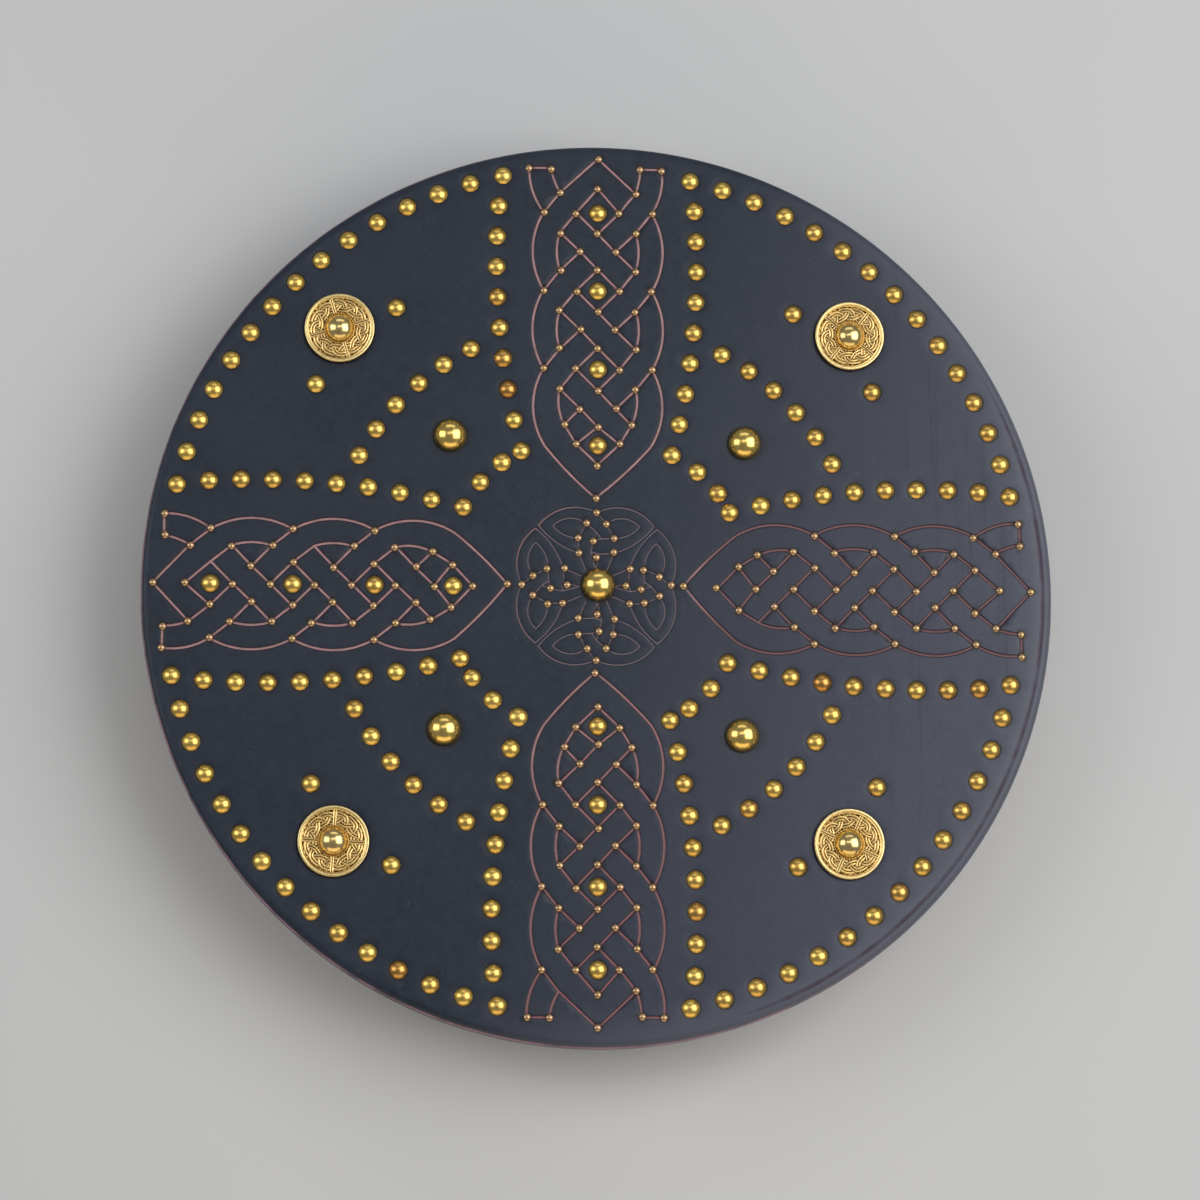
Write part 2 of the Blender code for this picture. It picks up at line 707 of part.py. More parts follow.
def strap_section(_):
    """A flat strap."""
    wide, thick = STRAP_WIDTH / 2, STRAP_THICKNESS / 2
    return [(wide, -thick), (wide, thick), (-wide, thick), (-wide, -thick)]


def grip_section(here):
    """A flat tab that swells into a round-backed handle. Its outer face stays flat."""
    to_ramp = max(0.0, abs(here.x) - BOW_FLAT_LENGTH / 2)
    share = max(0.0, 1.0 - to_ramp / (0.6 * BOW_RAMP_LENGTH))
    swell = share ** 2 * (3 - 2 * share)
    wide = (GRIP_TAB_WIDTH + (GRIP_HANDLE_WIDTH - GRIP_TAB_WIDTH) * swell) / 2
    low = -GRIP_TAB_THICKNESS / 2
    high = GRIP_TAB_THICKNESS / 2 + (GRIP_HANDLE_THICKNESS - GRIP_TAB_THICKNESS) * swell
    deep = high - low
    return [(0.8 * wide, low), (wide, low + 0.45 * deep), (0.6 * wide, high),
            (-0.6 * wide, high), (-wide, low + 0.45 * deep), (-0.8 * wide, low)]


def rivet_places():
    """Rivets of the strap's and the grip's tabs, as name and (x, y, tab thickness)."""
    places = {}
    middle = BOW_FLAT_LENGTH / 2 + BOW_RAMP_LENGTH + TAB_LENGTH / 2
    for end, side in (("upper", 1), ("lower", -1)):
        for name, offset in (("a", -0.5), ("b", 0.5)):
            across = CARRY_X + offset * STRAP_RIVET_SPACING
            along = side * middle + offset * GRIP_RIVET_SPACING
            places[f"strap_rivet_{end}_{name}"] = (across, side * middle, STRAP_THICKNESS)
            places[f"grip_rivet_{end}_{name}"] = (-CARRY_X, along, GRIP_TAB_THICKNESS)
    return places


def roundel_mesh():
    """A cast disc with a hole for its stud, a double rim and a low relief round its field."""
    hole = STUD_SHANK_RADIUS + HOLE_CLEARANCE
    seat = STUD_RADIUS + GAP
    rim = ROUNDEL_RIM_HEIGHT
    field_width = 0.77 * ROUNDEL_RADIUS - seat
    profile = [(hole, ROUNDEL_FIELD), (seat, ROUNDEL_FIELD), (seat + 0.5 * field_width, ROUNDEL_FIELD)]
    profile += [(0.78 * ROUNDEL_RADIUS, ROUNDEL_FIELD), (0.88 * ROUNDEL_RADIUS, rim)]
    profile += [(ROUNDEL_RADIUS, 0.7 * rim)]
    profile += [(ROUNDEL_RADIUS, 0.0), (hole, 0.0)]
    sides = 16
    shell = Shell()
    rings = [shell.add_ring(circle(radius, sides, height)) for radius, height in profile]
    for ring, next_ring in zip(rings, rings[1:] + rings[:1]):
        shell.bridge(ring, next_ring)
    for i, number in enumerate(rings[2]):
        x, y, z = shell.points[number]
        shell.points[number] = (x, y, z + ROUNDEL_RELIEF * (i % 2))
    return shell.mesh("roundel")


def make_face():
    """The brass on the face. Shanks from the face end just above the middle of the board."""
    fixings = []
    seat = FACE + GAP
    stud_seat = seat + ROUNDEL_FIELD + GAP
    shank_end = BOARD_MIDDLE + GAP
    boss = domed_fixing("boss", BOSS_RADIUS, BOSS_HEIGHT, BOSS_SHANK_RADIUS, seat - shank_end, 10, 3)
    stud = domed_fixing("stud", STUD_RADIUS, STUD_HEIGHT, STUD_SHANK_RADIUS, stud_seat - shank_end, 8, 2)
    nail = turned("nail", dome_profile(NAIL_RADIUS, NAIL_HEIGHT, 1) + [(0.0, 0.0)], NAIL_SIDES)
    roundel = roundel_mesh()
    for name, place in bosses().items():
        add_object(name, boss, "brass").location = (*place, seat)
        fixings.append((*place, BOSS_SHANK_RADIUS + HOLE_CLEARANCE))
    for name, place in roundels().items():
        add_object(f"roundel_{name}", roundel, "antique_brass").location = (*place, seat)
        add_object(f"roundel_stud_{name}", stud, "brass").location = (*place, stud_seat)
        fixings.append((*place, STUD_SHANK_RADIUS + HOLE_CLEARANCE))
    for name, place in lone_nails().items():
        add_object(name, nail, "brass").location = (*place, seat)
    return fixings


def make_back():
    """The arm strap and the hand grip with their rivets, which end just below the middle of the board."""
    strap = bow_mesh("arm_strap", STRAP_THICKNESS, strap_section)
    grip = bow_mesh("hand_grip", GRIP_TAB_THICKNESS, grip_section)
    arm_strap = add_object("arm_strap", strap, "strap_leather")
    arm_strap.location = (CARRY_X, 0.0, 0.0)
    hand_grip = add_object("hand_grip", grip, "strap_leather")
    hand_grip.location = (-CARRY_X, 0.0, 0.0)
    fixings = []
    for name, (x, y, tab) in rivet_places().items():
        seat = LINING_LOW - GAP - tab - GAP
        shank = BOARD_MIDDLE - GAP - seat
        rivet = domed_fixing(name, RIVET_RADIUS, RIVET_HEIGHT, RIVET_SHANK_RADIUS, shank, SHANK_SIDES, 2)
        piece = add_object(name, rivet, "antique_brass")
        piece.location = (x, y, seat)
        piece.rotation_euler = (math.pi, 0.0, 0.0)
        fixings.append((x, y, RIVET_SHANK_RADIUS + HOLE_CLEARANCE))
    return arm_strap, hand_grip, fixings


def main():
    for existing in list(bpy.data.objects):
        bpy.data.objects.remove(existing)

    board_radius = TARGE_RADIUS - LEATHER_THICKNESS - GAP
    board = make_disc("board", board_radius, BOARD_LOW, BOARD_HIGH, "board_wood")
    lining_radius = TARGE_RADIUS - TURN_OVER_WIDTH - GAP
    lining = make_disc("lining", lining_radius, LINING_LOW, LINING_HIGH, "lining_leather")
    facing = add_object("facing", facing_mesh(), "black_leather")

    face_fixings = make_face()
    face_holes = cylinders("face_shank_holes", face_fixings, BOARD_MIDDLE, FACE + BOSS_HEIGHT)
    for piece in (facing, board):
        cut(piece, face_holes)

    arm_strap, hand_grip, back_fixings = make_back()
    back_holes = cylinders("back_rivet_holes", back_fixings, CARRY_DEPTH / 2, BOARD_MIDDLE)
    for piece in (board, lining, arm_strap, hand_grip):
        cut(piece, back_holes)


main()
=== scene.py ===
"""The looks of a targe: tooled leather, brass nails, bosses and roundels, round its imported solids.

Lengths are in metres, and places are in the frame's own coordinates.
"""

import math
import random

import bpy
import numpy as np
from mathutils import Matrix, Vector, noise
from mathutils.geometry import delaunay_2d_cdt


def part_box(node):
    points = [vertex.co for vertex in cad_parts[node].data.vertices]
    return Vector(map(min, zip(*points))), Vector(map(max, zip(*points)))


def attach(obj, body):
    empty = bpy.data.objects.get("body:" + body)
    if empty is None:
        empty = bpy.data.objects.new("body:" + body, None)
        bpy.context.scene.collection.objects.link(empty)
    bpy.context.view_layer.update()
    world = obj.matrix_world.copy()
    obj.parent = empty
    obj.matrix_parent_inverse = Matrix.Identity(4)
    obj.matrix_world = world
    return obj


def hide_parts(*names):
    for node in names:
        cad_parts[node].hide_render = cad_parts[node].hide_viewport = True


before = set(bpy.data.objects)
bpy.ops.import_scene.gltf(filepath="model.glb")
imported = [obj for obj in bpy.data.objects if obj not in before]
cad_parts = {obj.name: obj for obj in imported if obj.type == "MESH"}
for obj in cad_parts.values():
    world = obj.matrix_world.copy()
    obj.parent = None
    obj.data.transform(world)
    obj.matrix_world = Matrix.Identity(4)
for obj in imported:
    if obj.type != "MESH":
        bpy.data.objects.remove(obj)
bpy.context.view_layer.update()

# Levels and sizes read from the frame
GAP = 0.0003
TARGE_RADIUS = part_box("facing")[1].x
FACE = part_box("flank_nail_upper_right_a")[0].z - GAP
HEM_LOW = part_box("facing")[0].z
LINING_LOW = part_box("lining")[0].z
LINING_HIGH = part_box("lining")[1].z
BOARD_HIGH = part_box("board")[1].z
LEATHER_THICKNESS = FACE - GAP - BOARD_HIGH
LINING_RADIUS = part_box("lining")[1].x

# The turned-over edge of the facing
SHOULDER_RADIUS = 0.0045
SHOULDER_STEPS = 6
HEM_ROUNDING = 0.0012
RIM_SIDES = 360
PLEATS = 64
PLEAT_DEPTH = 0.0005
CREASE_INSET = 0.0057
CREASE_RADIUS = TARGE_RADIUS - CREASE_INSET
CREASE_HALF_WIDTH = 0.0009
CREASE_RINGS = (-1.6, -1.0, -0.45, 0.0, 0.45)
CREASE_REACH = 1.6
CREASE_DEPTH = 0.0005
CREASE_FROM = math.radians(-78)
CREASE_TO = math.radians(34)
CREASE_FADE = math.radians(16)
RAW_EDGE_MIDDLE = math.radians(205)

# Surface and mesh of the face
FILL_SPACING = 0.0034
FILL_ROW_SHARE = 0.866
FILL_FROM_CREASE = 0.0035
FILL_FROM_CUT = 0.0007
FILL_FROM_HEAD = 0.0022
HEAD_SIDES = 16
HEAD_RINGS = (0.00015, 0.00055, 0.0011)
SWELL_HEIGHT = 0.00016
SWELL_SIZE = 0.055
SWELL_UNTIL = 0.236
SWELL_FADE = 0.010
DIMPLE_DEPTH = 0.00028
DIMPLE_REACH = 0.0012

# Knotwork, as in the solid: arms measured inwards from their outer end
PATTERN_SHIFT = Vector((-0.00265, 0.0018))
KNOT_INSET = 0.0095
CROSSING_ROWS = 3
FIRST_CROSSING = 0.0316
CROSSING_PITCH = 0.0452
COLUMN_LEFT = -0.0201
COLUMN_MIDDLE = 0.0013
COLUMN_RIGHT = 0.0226
SIDE_HALF_LENGTH = 0.0116
SIDE_HALF_WIDTH = 0.0092
MIDDLE_HALF_LENGTH = 0.0104
MIDDLE_HALF_WIDTH = 0.0099
CAP_INSET = 0.0058
CAP_INNER_OFFSET = 0.0253
CAP_OUTER_OFFSET = 0.0375
CAP_INNER_BULGE = 0.0007
CAP_OUTER_BULGE = 0.0024
POINT_INSET = 0.0176
SCALLOP_BULGE = 0.0062
SCALLOP_STEPS = 14
WAIST_BULGE = 0.0018
SPEARHEAD_SHOULDER = 0.1538
SPEARHEAD_SIDE = 0.1648
SPEARHEAD_TIP = 0.1764
SPEARHEAD_HALF_WIDTH = 0.0189
SPEARHEAD_NECK = 0.0122
BLADE_SHOULDER = 0.1663
BLADE_HALF_WIDTH = 0.0296
BLADE_SIDE_BULGE = 0.0010
BLADE_TIP = 0.1954

# Knot in the centre, in shares of its radius
CENTRE_KNOT_RADIUS = 0.0446
CENTRE_KNOT_SHIFT = PATTERN_SHIFT + Vector((0.0005, -0.0006))
LOBE_TIP = (0.722, 0.762)
LENS_TIP = (0.543, 0.754)
OUTER_CROSSING_TOP = (0.011, 0.929)
OUTER_CROSSING_SIDE = (0.127, 0.789)
OUTER_CROSSING_FOOT = (0.0, 0.684)
SIDE_CROSSING_TOP = (0.219, 0.604)
SIDE_CROSSING_FOOT = (0.222, 0.416)
INNER_CORNER_LEFT = (-0.036, 0.569)
INNER_CORNER_RIGHT = (0.060, 0.596)
LOWER_CORNER_LEFT = (-0.067, 0.429)
LOWER_CORNER_RIGHT = (0.042, 0.404)
FOOT_OUTER = (0.128, 0.189)
FOOT_INNER = (-0.010, 0.209)
FOOT_TACK = (0.0, 0.362)
LOBE_BULGE = 0.137
LENS_BULGE = 0.084
LOBE_SIDE_BULGE = 0.049
LENS_SIDE_BULGE = 0.042

# Profile of a cut line: a flat raw bottom, a slope up, and a low lip beside it
CUT_DEPTH = 0.00050
CUT_BOTTOM = 0.00045
CUT_EDGE = 0.00090
CUT_LIP = 0.00135
CUT_LIP_HEIGHT = 0.00010
CUT_REACH = 0.0020
CENTRE_CUT_SHARE = 0.62
LINE_STEP = 0.0040

# Colours of the facing, as red, green and blue shares of the light they return
DYE_DARK = (0.0105, 0.0165, 0.0295)
DYE_LIGHT = (0.0165, 0.0235, 0.0405)
# Painted sheen: the colour the facing is lightened to towards the lower right, where the right light falls
PAINTED_SHEEN = (0.0600, 0.0660, 0.0960)
DYE_MOTTLE = (0.034, 0.040, 0.056)
DYE_SPECK = (0.115, 0.118, 0.130)
DYE_STREAK = (0.009, 0.012, 0.020)
# Painted sheen on the rim, lighter to the lower right
RIM_PAINTED_SHEEN = (0.105, 0.110, 0.142)
FLESH_LEFT = (0.46, 0.260, 0.262)
FLESH_RIGHT = (0.27, 0.118, 0.126)
FLESH_RIGHT_ARM = (0.150, 0.080, 0.086)
FLESH_SOILED = (0.150, 0.085, 0.090)
FLESH_CENTRE = (0.190, 0.145, 0.160)
CUT_BORDER = (0.026, 0.010, 0.014)
# Painted shade round the heads and tacks and in the hem's folds
PAINTED_SHADE = (0.010, 0.0075, 0.0065)
CREASE = (0.046, 0.018, 0.032)
RAW_EDGE = (0.40, 0.22, 0.27)

# Brass
NAIL_RADIUS = 0.0050
NAIL_HEIGHT = 0.0027
TACK_RADIUS = 0.0022
TACK_HEIGHT = 0.0012
TACK_SLIP = 0.00030
# Reach of the painted shade round the heads
PAINTED_SHADE_REACH = 0.0007
HEM_TACKS = 48
HEM_TACK_INSET = 0.018
SUNK = 0.0004
ROW_NAIL_SIDES = 28
LONE_NAIL_SIDES = 32
TACK_SIDES = 16
DOME_SIDES = 72
DOME_LEVELS = 22
RIVET_SIDES = 40
RIVET_LEVELS = 10
RIGHT_NAIL_TONE = 0.32
COPPERY_NAILS = ((-0.0521, 0.1303), (-0.0493, 0.1137), (-0.1080, -0.2085))
MISSING_TACKS = {
    "top": (),
    "left": ("left_0_right", "left_1_in"),
    "bottom": ("left_0_out",),
    "right": ("shoulder_right",),
}

# Roundels and studs
STUD_HEIGHT = 0.0062
ROUNDEL_SIDES = 360
ROUNDEL_RINGS = 76
ROUNDEL_FIELD = 0.0012
ROUNDEL_TURNS = (0.05, 0.42, -0.30, 0.68)
PLAIT_REPEATS = 4
PLAIT_SQUARENESS = 1.6
PLAIT_SWING = 0.31
PLAIT_HALF_WIDTH = 0.185
PLAIT_BAND = 0.65
BAR_HALF_WIDTH = 0.15
BAND_FROM = 0.44
BAND_TO = 0.86
SECOND_RING_TO = 0.895
BAND_RISE = 0.0011
STUD_HOLE_RADIUS = 0.0026

# Turned rings of a roundel: middle and half-width as shares, roundness, rise, and relief
COLLAR = (0.415, 0.022, 2, 0.0004, 0.1, 0.5)
SECOND_RING = (0.877, 0.018, 2, 0.0010, 0.35, 0.65)
OUTER_RING = (0.946, 0.054, 4, 0.0014, 0.35, 0.65)

# The back
CARRY_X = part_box("arm_strap")[0].x * 0.5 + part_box("arm_strap")[1].x * 0.5
BOW_FLAT_LENGTH = 0.078
BOW_RAMP_LENGTH = 0.036
TAB_LENGTH = 0.040
BOW_REACH = BOW_FLAT_LENGTH / 2 + BOW_RAMP_LENGTH + TAB_LENGTH
STRAP_THICKNESS = 0.0042
STRAP_CORNER = 0.0014
GRIP_TAB_THICKNESS = 0.0045
GRIP_TAB_WIDTH = 0.030
GRIP_HANDLE_WIDTH = 0.025
GRIP_HANDLE_THICKNESS = 0.017
GRIP_HANDLE_CORNER = 0.008
GRIP_STITCHES_PAST_FLAT = 0.010
STRAP_STITCHES_FROM_END = 0.005
STITCH_PITCH = 0.0052
STITCH_INSET = 0.0045
STITCH_RISE = 0.0003
STITCH_SINK = 0.00028
RIVET_HEAD = 0.0026
LINING_SIDES = 180
LINING_RINGS = 46
LINING_WAVE = 0.0005
LINING_WAVE_SIZE = 0.032

# Camera and lights
CAMERA_PLACE = Vector((-0.1290, -0.2993, 1.9266))
CAMERA_TARGET = Vector((-0.0002, -0.0067, 0.0648))
CAMERA_ANGLE = math.radians(20)

SIDES = (("left", -1), ("right", 1))
rng = random.Random(1745)


def smooth(value):
    """Smooth step from 0 to 1."""
    share = np.clip(value, 0.0, 1.0)
    return share * share * (3.0 - 2.0 * share)


def polar(radius, angle):
    return Vector((radius * math.cos(angle), radius * math.sin(angle)))


def circle(radius, sides, height):
    step = 2 * math.pi / sides
    return [(radius * math.cos(i * step), radius * math.sin(i * step), height) for i in range(sides)]


# Materials


class Finish:
    """A procedural Principled material. Textures use object coordinates, in metres."""

    def __init__(self, name, roughness, metallic=0.0):
        self.material = bpy.data.materials.new(name)
        self.material.use_nodes = True
        self.tree = self.material.node_tree
        self.shader = self.tree.nodes["Principled BSDF"]
        self.shader.inputs["Roughness"].default_value = roughness
        self.shader.inputs["Metallic"].default_value = metallic
        self.place = self.add("ShaderNodeTexCoord").outputs["Object"]

    def add(self, kind, **settings):
        node = self.tree.nodes.new(kind)
        for name, value in settings.items():
            setattr(node, name, value)
        return node

    def put(self, socket, value):
        """Link an output to a socket, or set a plain value on it."""
        if isinstance(value, bpy.types.NodeSocket):
            self.tree.links.new(value, socket)
        elif isinstance(value, tuple) and len(value) == 3 and socket.type == "RGBA":
            socket.default_value = (*value, 1.0)
        else:
            socket.default_value = value

    def noise(self, size, detail=4.0, stretch=(1.0, 1.0, 1.0)):
        """Noise whose blotches are about size across. A stretch above 1 lengthens them that way."""
        mapping = self.add("ShaderNodeMapping")
        self.put(mapping.inputs["Vector"], self.place)
        mapping.inputs["Scale"].default_value = [1.0 / (size * s) for s in stretch]
        node = self.add("ShaderNodeTexNoise")
        self.put(node.inputs["Vector"], mapping.outputs["Vector"])
        node.inputs["Scale"].default_value = 1.0
        node.inputs["Detail"].default_value = detail
        return node.outputs["Fac"]

    def cells(self, size, feature="F1"):
        node = self.add("ShaderNodeTexVoronoi", feature=feature)
        self.put(node.inputs["Vector"], self.place)
        node.inputs["Scale"].default_value = 1.0 / size
        return node.outputs["Distance"]

    def attribute(self, name):
        return self.add("ShaderNodeAttribute", attribute_name=name).outputs["Fac"]

    def axis(self, name):
        node = self.add("ShaderNodeSeparateXYZ")
        self.put(node.inputs[0], self.place)
        return node.outputs[name]

    def ramp(self, value, *stops):
        """A colour ramp. Each stop is (position, colour), and a single number is a grey."""
        node = self.add("ShaderNodeValToRGB")
        self.put(node.inputs["Fac"], value)
        while len(node.color_ramp.elements) < len(stops):
            node.color_ramp.elements.new(0.5)
        for element, (position, colour) in zip(node.color_ramp.elements, stops):
            element.position = position
            element.color = (*colour, 1.0) if isinstance(colour, tuple) else (colour, colour, colour, 1.0)
        return node.outputs["Color"]

    def patches(self, size, detail, *stops, stretch=(1.0, 1.0, 1.0)):
        return self.ramp(self.noise(size, detail, stretch), *stops)

    def mix(self, share, first, second):
        node = self.add("ShaderNodeMix", data_type="RGBA")
        self.put(node.inputs["Factor"], share)
        self.put(node.inputs[6], first)
        self.put(node.inputs[7], second)
        return node.outputs[2]

    def calc(self, operation, first, second):
        node = self.add("ShaderNodeMath", operation=operation)
        self.put(node.inputs[0], first)
        self.put(node.inputs[1], second)
        return node.outputs[0]

    def times(self, first, second):
        return self.calc("MULTIPLY", first, second)

    def spread(self, value, low, high):
        """Map 0..1 to low..high."""
        node = self.add("ShaderNodeMapRange")
        self.put(node.inputs["Value"], value)
        node.inputs["To Min"].default_value = low
        node.inputs["To Max"].default_value = high
        return node.outputs["Result"]

    def colour(self, value):
        self.put(self.shader.inputs["Base Color"], value)

    def roughness(self, value):
        self.put(self.shader.inputs["Roughness"], value)

    def bumps(self, *layers):
        """Stack bump layers of (height, depth in metres)."""
        normal = None
        for height, depth in layers:
            node = self.add("ShaderNodeBump")
            node.inputs["Strength"].default_value = 1.0
            node.inputs["Distance"].default_value = depth
            self.put(node.inputs["Height"], height)
            if normal is not None:
                self.put(node.inputs["Normal"], normal)
            normal = node.outputs["Normal"]
        self.put(self.shader.inputs["Normal"], normal)


def facing_dye(finish, radius):
    """Near-black blue with specks, darker vertical streaks on the right, and a painted sheen that lightens
    it to the lower right and on the rim there.
    """
    dye = finish.patches(0.070, 5.0, (0.30, DYE_DARK), (0.70, DYE_LIGHT))
    to_corner = finish.calc("SUBTRACT", finish.axis("X"), finish.times(finish.axis("Y"), 0.35))
    # Painted sheen: share of lightening towards the lower right, standing in for the right light's sheen
    painted_sheen_share = finish.ramp(to_corner, (0.0, 0.0), (0.22, 1.0))
    dye = finish.mix(painted_sheen_share, dye, PAINTED_SHEEN)
    dye = finish.mix(finish.patches(0.0045, 6.0, (0.35, 0.0), (0.75, 0.35)), dye, DYE_MOTTLE)
    specks = finish.ramp(finish.cells(0.0042), (0.050, 0.80), (0.090, 0.0))
    specks = finish.times(specks, finish.patches(0.012, 2.0, (0.52, 0.0), (0.62, 1.0)))
    dye = finish.mix(specks, dye, DYE_SPECK)
    # Darker vertical streaks, only on the right side of the face
    streaks = finish.patches(0.0030, 3.0, (0.56, 0.0), (0.72, 0.24), stretch=(1.0, 34.0, 1.0))
    streaked_side = finish.ramp(finish.axis("X"), (0.115, 0.0), (0.165, 1.0))
    on_face = finish.ramp(finish.axis("Z"), (FACE - 0.006, 0.0), (FACE - 0.003, 1.0))
    dye = finish.mix(finish.times(streaks, finish.times(streaked_side, on_face)), dye, DYE_STREAK)
    # Painted sheen: the rim lightened where the right light falls, standing in for the sheen on its rounded
    # shoulder
    rim = finish.ramp(radius, (TARGE_RADIUS - 0.024, 0.0), (TARGE_RADIUS - 0.003, 0.85))
    return finish.mix(finish.times(rim, painted_sheen_share), dye, RIM_PAINTED_SHEEN)


def facing_flesh(finish, in_centre):
    """Raw leather in the cuts, redder to the lower right and duller in the right arm and the centre."""
    to_corner = finish.calc("SUBTRACT", finish.axis("X"), finish.axis("Y"))
    flesh = finish.mix(finish.ramp(to_corner, (0.0, 0.0), (0.16, 1.0)), FLESH_LEFT, FLESH_RIGHT)
    right_arm = finish.ramp(finish.axis("X"), (0.055, 0.0), (0.065, 0.78))
    flesh = finish.mix(right_arm, flesh, FLESH_RIGHT_ARM)
    flesh = finish.mix(finish.patches(0.006, 5.0, (0.35, 0.0), (0.75, 0.45)), flesh, FLESH_SOILED)
    return finish.mix(in_centre, flesh, FLESH_CENTRE)


def facing_finish():
    """Dyed leather with raw, red-bordered cuts, painted shade round the heads and in the hem's folds, a
    crease and a raw edge.
    """
    finish = Finish("facing_leather", 0.46)
    finish.shader.inputs["Specular IOR Level"].default_value = 0.32
    flat = finish.add("ShaderNodeVectorMath", operation="MULTIPLY")
    finish.put(flat.inputs[0], finish.place)
    flat.inputs[1].default_value = (1.0, 1.0, 0.0)
    length = finish.add("ShaderNodeVectorMath", operation="LENGTH")
    finish.put(length.inputs[0], flat.outputs["Vector"])
    radius = length.outputs["Value"]
    in_centre = finish.ramp(radius, (0.047, 1.0), (0.052, 0.0))

    uneven = finish.calc("SUBTRACT", finish.noise(0.0012, 3.0), 0.5)
    cut = finish.calc("ADD", finish.attribute("cut"), finish.times(uneven, 0.16))
    outside_centre = finish.calc("SUBTRACT", 1.0, in_centre)
    border = finish.times(finish.ramp(cut, (0.48, 0.9), (0.62, 0.0)), outside_centre)
    crease_wear = finish.patches(0.011, 4.0, (0.38, 0.25), (0.60, 1.0))
    edge_wear = finish.patches(0.014, 4.0, (0.36, 0.30), (0.58, 1.0))
    leather = finish.mix(border, facing_dye(finish, radius), CUT_BORDER)
    bottom = finish.ramp(cut, (0.23, 1.0), (0.35, 0.0))
    leather = finish.mix(bottom, leather, facing_flesh(finish, in_centre))
    # Painted shade: darker round the heads and tacks and in the hem's folds
    leather = finish.mix(finish.attribute("grime"), leather, PAINTED_SHADE)
    leather = finish.mix(finish.times(finish.attribute("crease"), crease_wear), leather, CREASE)
    finish.colour(finish.mix(finish.times(finish.attribute("raw_edge"), edge_wear), leather, RAW_EDGE))

    finish.roughness(finish.spread(finish.noise(0.010, 5.0), 0.32, 0.50))
    grain = finish.noise(0.00075, 5.0)
    pores = finish.cells(0.0011, "DISTANCE_TO_EDGE")
    finish.bumps((finish.noise(0.009, 3.0), 0.00010), (pores, 0.00005), (grain, 0.00010))
    return finish.material


def leather_finish(name, colours, roughness, grain_size, depth):
    """Plain leather with a dark, a middle and a worn tone."""
    dark, middle, worn = colours
    finish = Finish(name, roughness)
    tone = finish.patches(0.030, 6.0, (0.30, dark), (0.55, middle), (0.80, worn))
    scuffs = finish.patches(0.0035, 7.0, (0.58, 0.0), (0.74, 0.5))
    finish.colour(finish.mix(scuffs, tone, worn))
    finish.roughness(finish.spread(finish.noise(0.012, 4.0), roughness - 0.10, roughness + 0.12))
    pores = finish.cells(grain_size * 1.6, "DISTANCE_TO_EDGE")
    finish.bumps((finish.noise(0.008, 3.0), depth), (pores, depth * 0.6), (finish.noise(grain_size), depth))
    return finish.material


def brass_finish(name, bright, deep, roughness, copper=(0.52, 0.235, 0.070)):
    """Brass with tarnish in small clouds. The tone attribute turns a piece towards copper."""
    finish = Finish(name, roughness, 1.0)
    metal = finish.mix(finish.patches(0.0036, 4.0, (0.40, 0.0), (0.78, 0.55)), bright, deep)
    metal = finish.mix(finish.attribute("tone"), metal, copper)
    spots = finish.ramp(finish.cells(0.0031), (0.03, 0.15), (0.07, 0.0))
    finish.colour(finish.mix(spots, metal, (0.24, 0.130, 0.040)))
    finish.roughness(finish.spread(finish.noise(0.0026, 5.0), roughness - 0.03, roughness + 0.07))
    finish.bumps((finish.noise(0.0040, 2.0), 0.000010), (finish.noise(0.0006, 3.0), 0.000003))
    return finish.material


def cast_brass_finish():
    """Aged cast brass: dark in the hollows, bright where it is rubbed."""
    finish = Finish("cast_brass", 0.32, 1.0)
    hollow, middle, rubbed = (0.100, 0.042, 0.010), (0.56, 0.350, 0.102), (0.92, 0.710, 0.325)
    metal = finish.ramp(finish.attribute("relief"), (0.26, hollow), (0.52, middle), (0.82, rubbed))
    stain = finish.patches(0.0045, 5.0, (0.48, 0.0), (0.78, 0.42))
    finish.colour(finish.mix(stain, metal, (0.55, 0.33, 0.13)))
    finish.roughness(finish.spread(finish.noise(0.0020, 5.0), 0.22, 0.46))
    finish.bumps((finish.noise(0.0014, 3.0), 0.00003), (finish.noise(0.0003, 3.0), 0.00001))
    return finish.material


def wood_finish():
    finish = Finish("board_wood", 0.72)
    rings = finish.noise(0.0045, 5.0, (1.0, 26.0, 1.0))
    dark, middle, pale = (0.17, 0.095, 0.045), (0.33, 0.21, 0.11), (0.42, 0.28, 0.16)
    finish.colour(finish.ramp(rings, (0.30, dark), (0.55, middle), (0.80, pale)))
    finish.bumps((rings, 0.0003), (finish.noise(0.001), 0.00008))
    return finish.material


def thread_finish():
    finish = Finish("waxed_thread", 0.62)
    twist = finish.noise(0.0006, 3.0)
    finish.colour(finish.ramp(twist, (0.30, (0.21, 0.155, 0.095)), (0.75, (0.47, 0.38, 0.25))))
    finish.bumps((twist, 0.00012))
    return finish.material


# Meshes


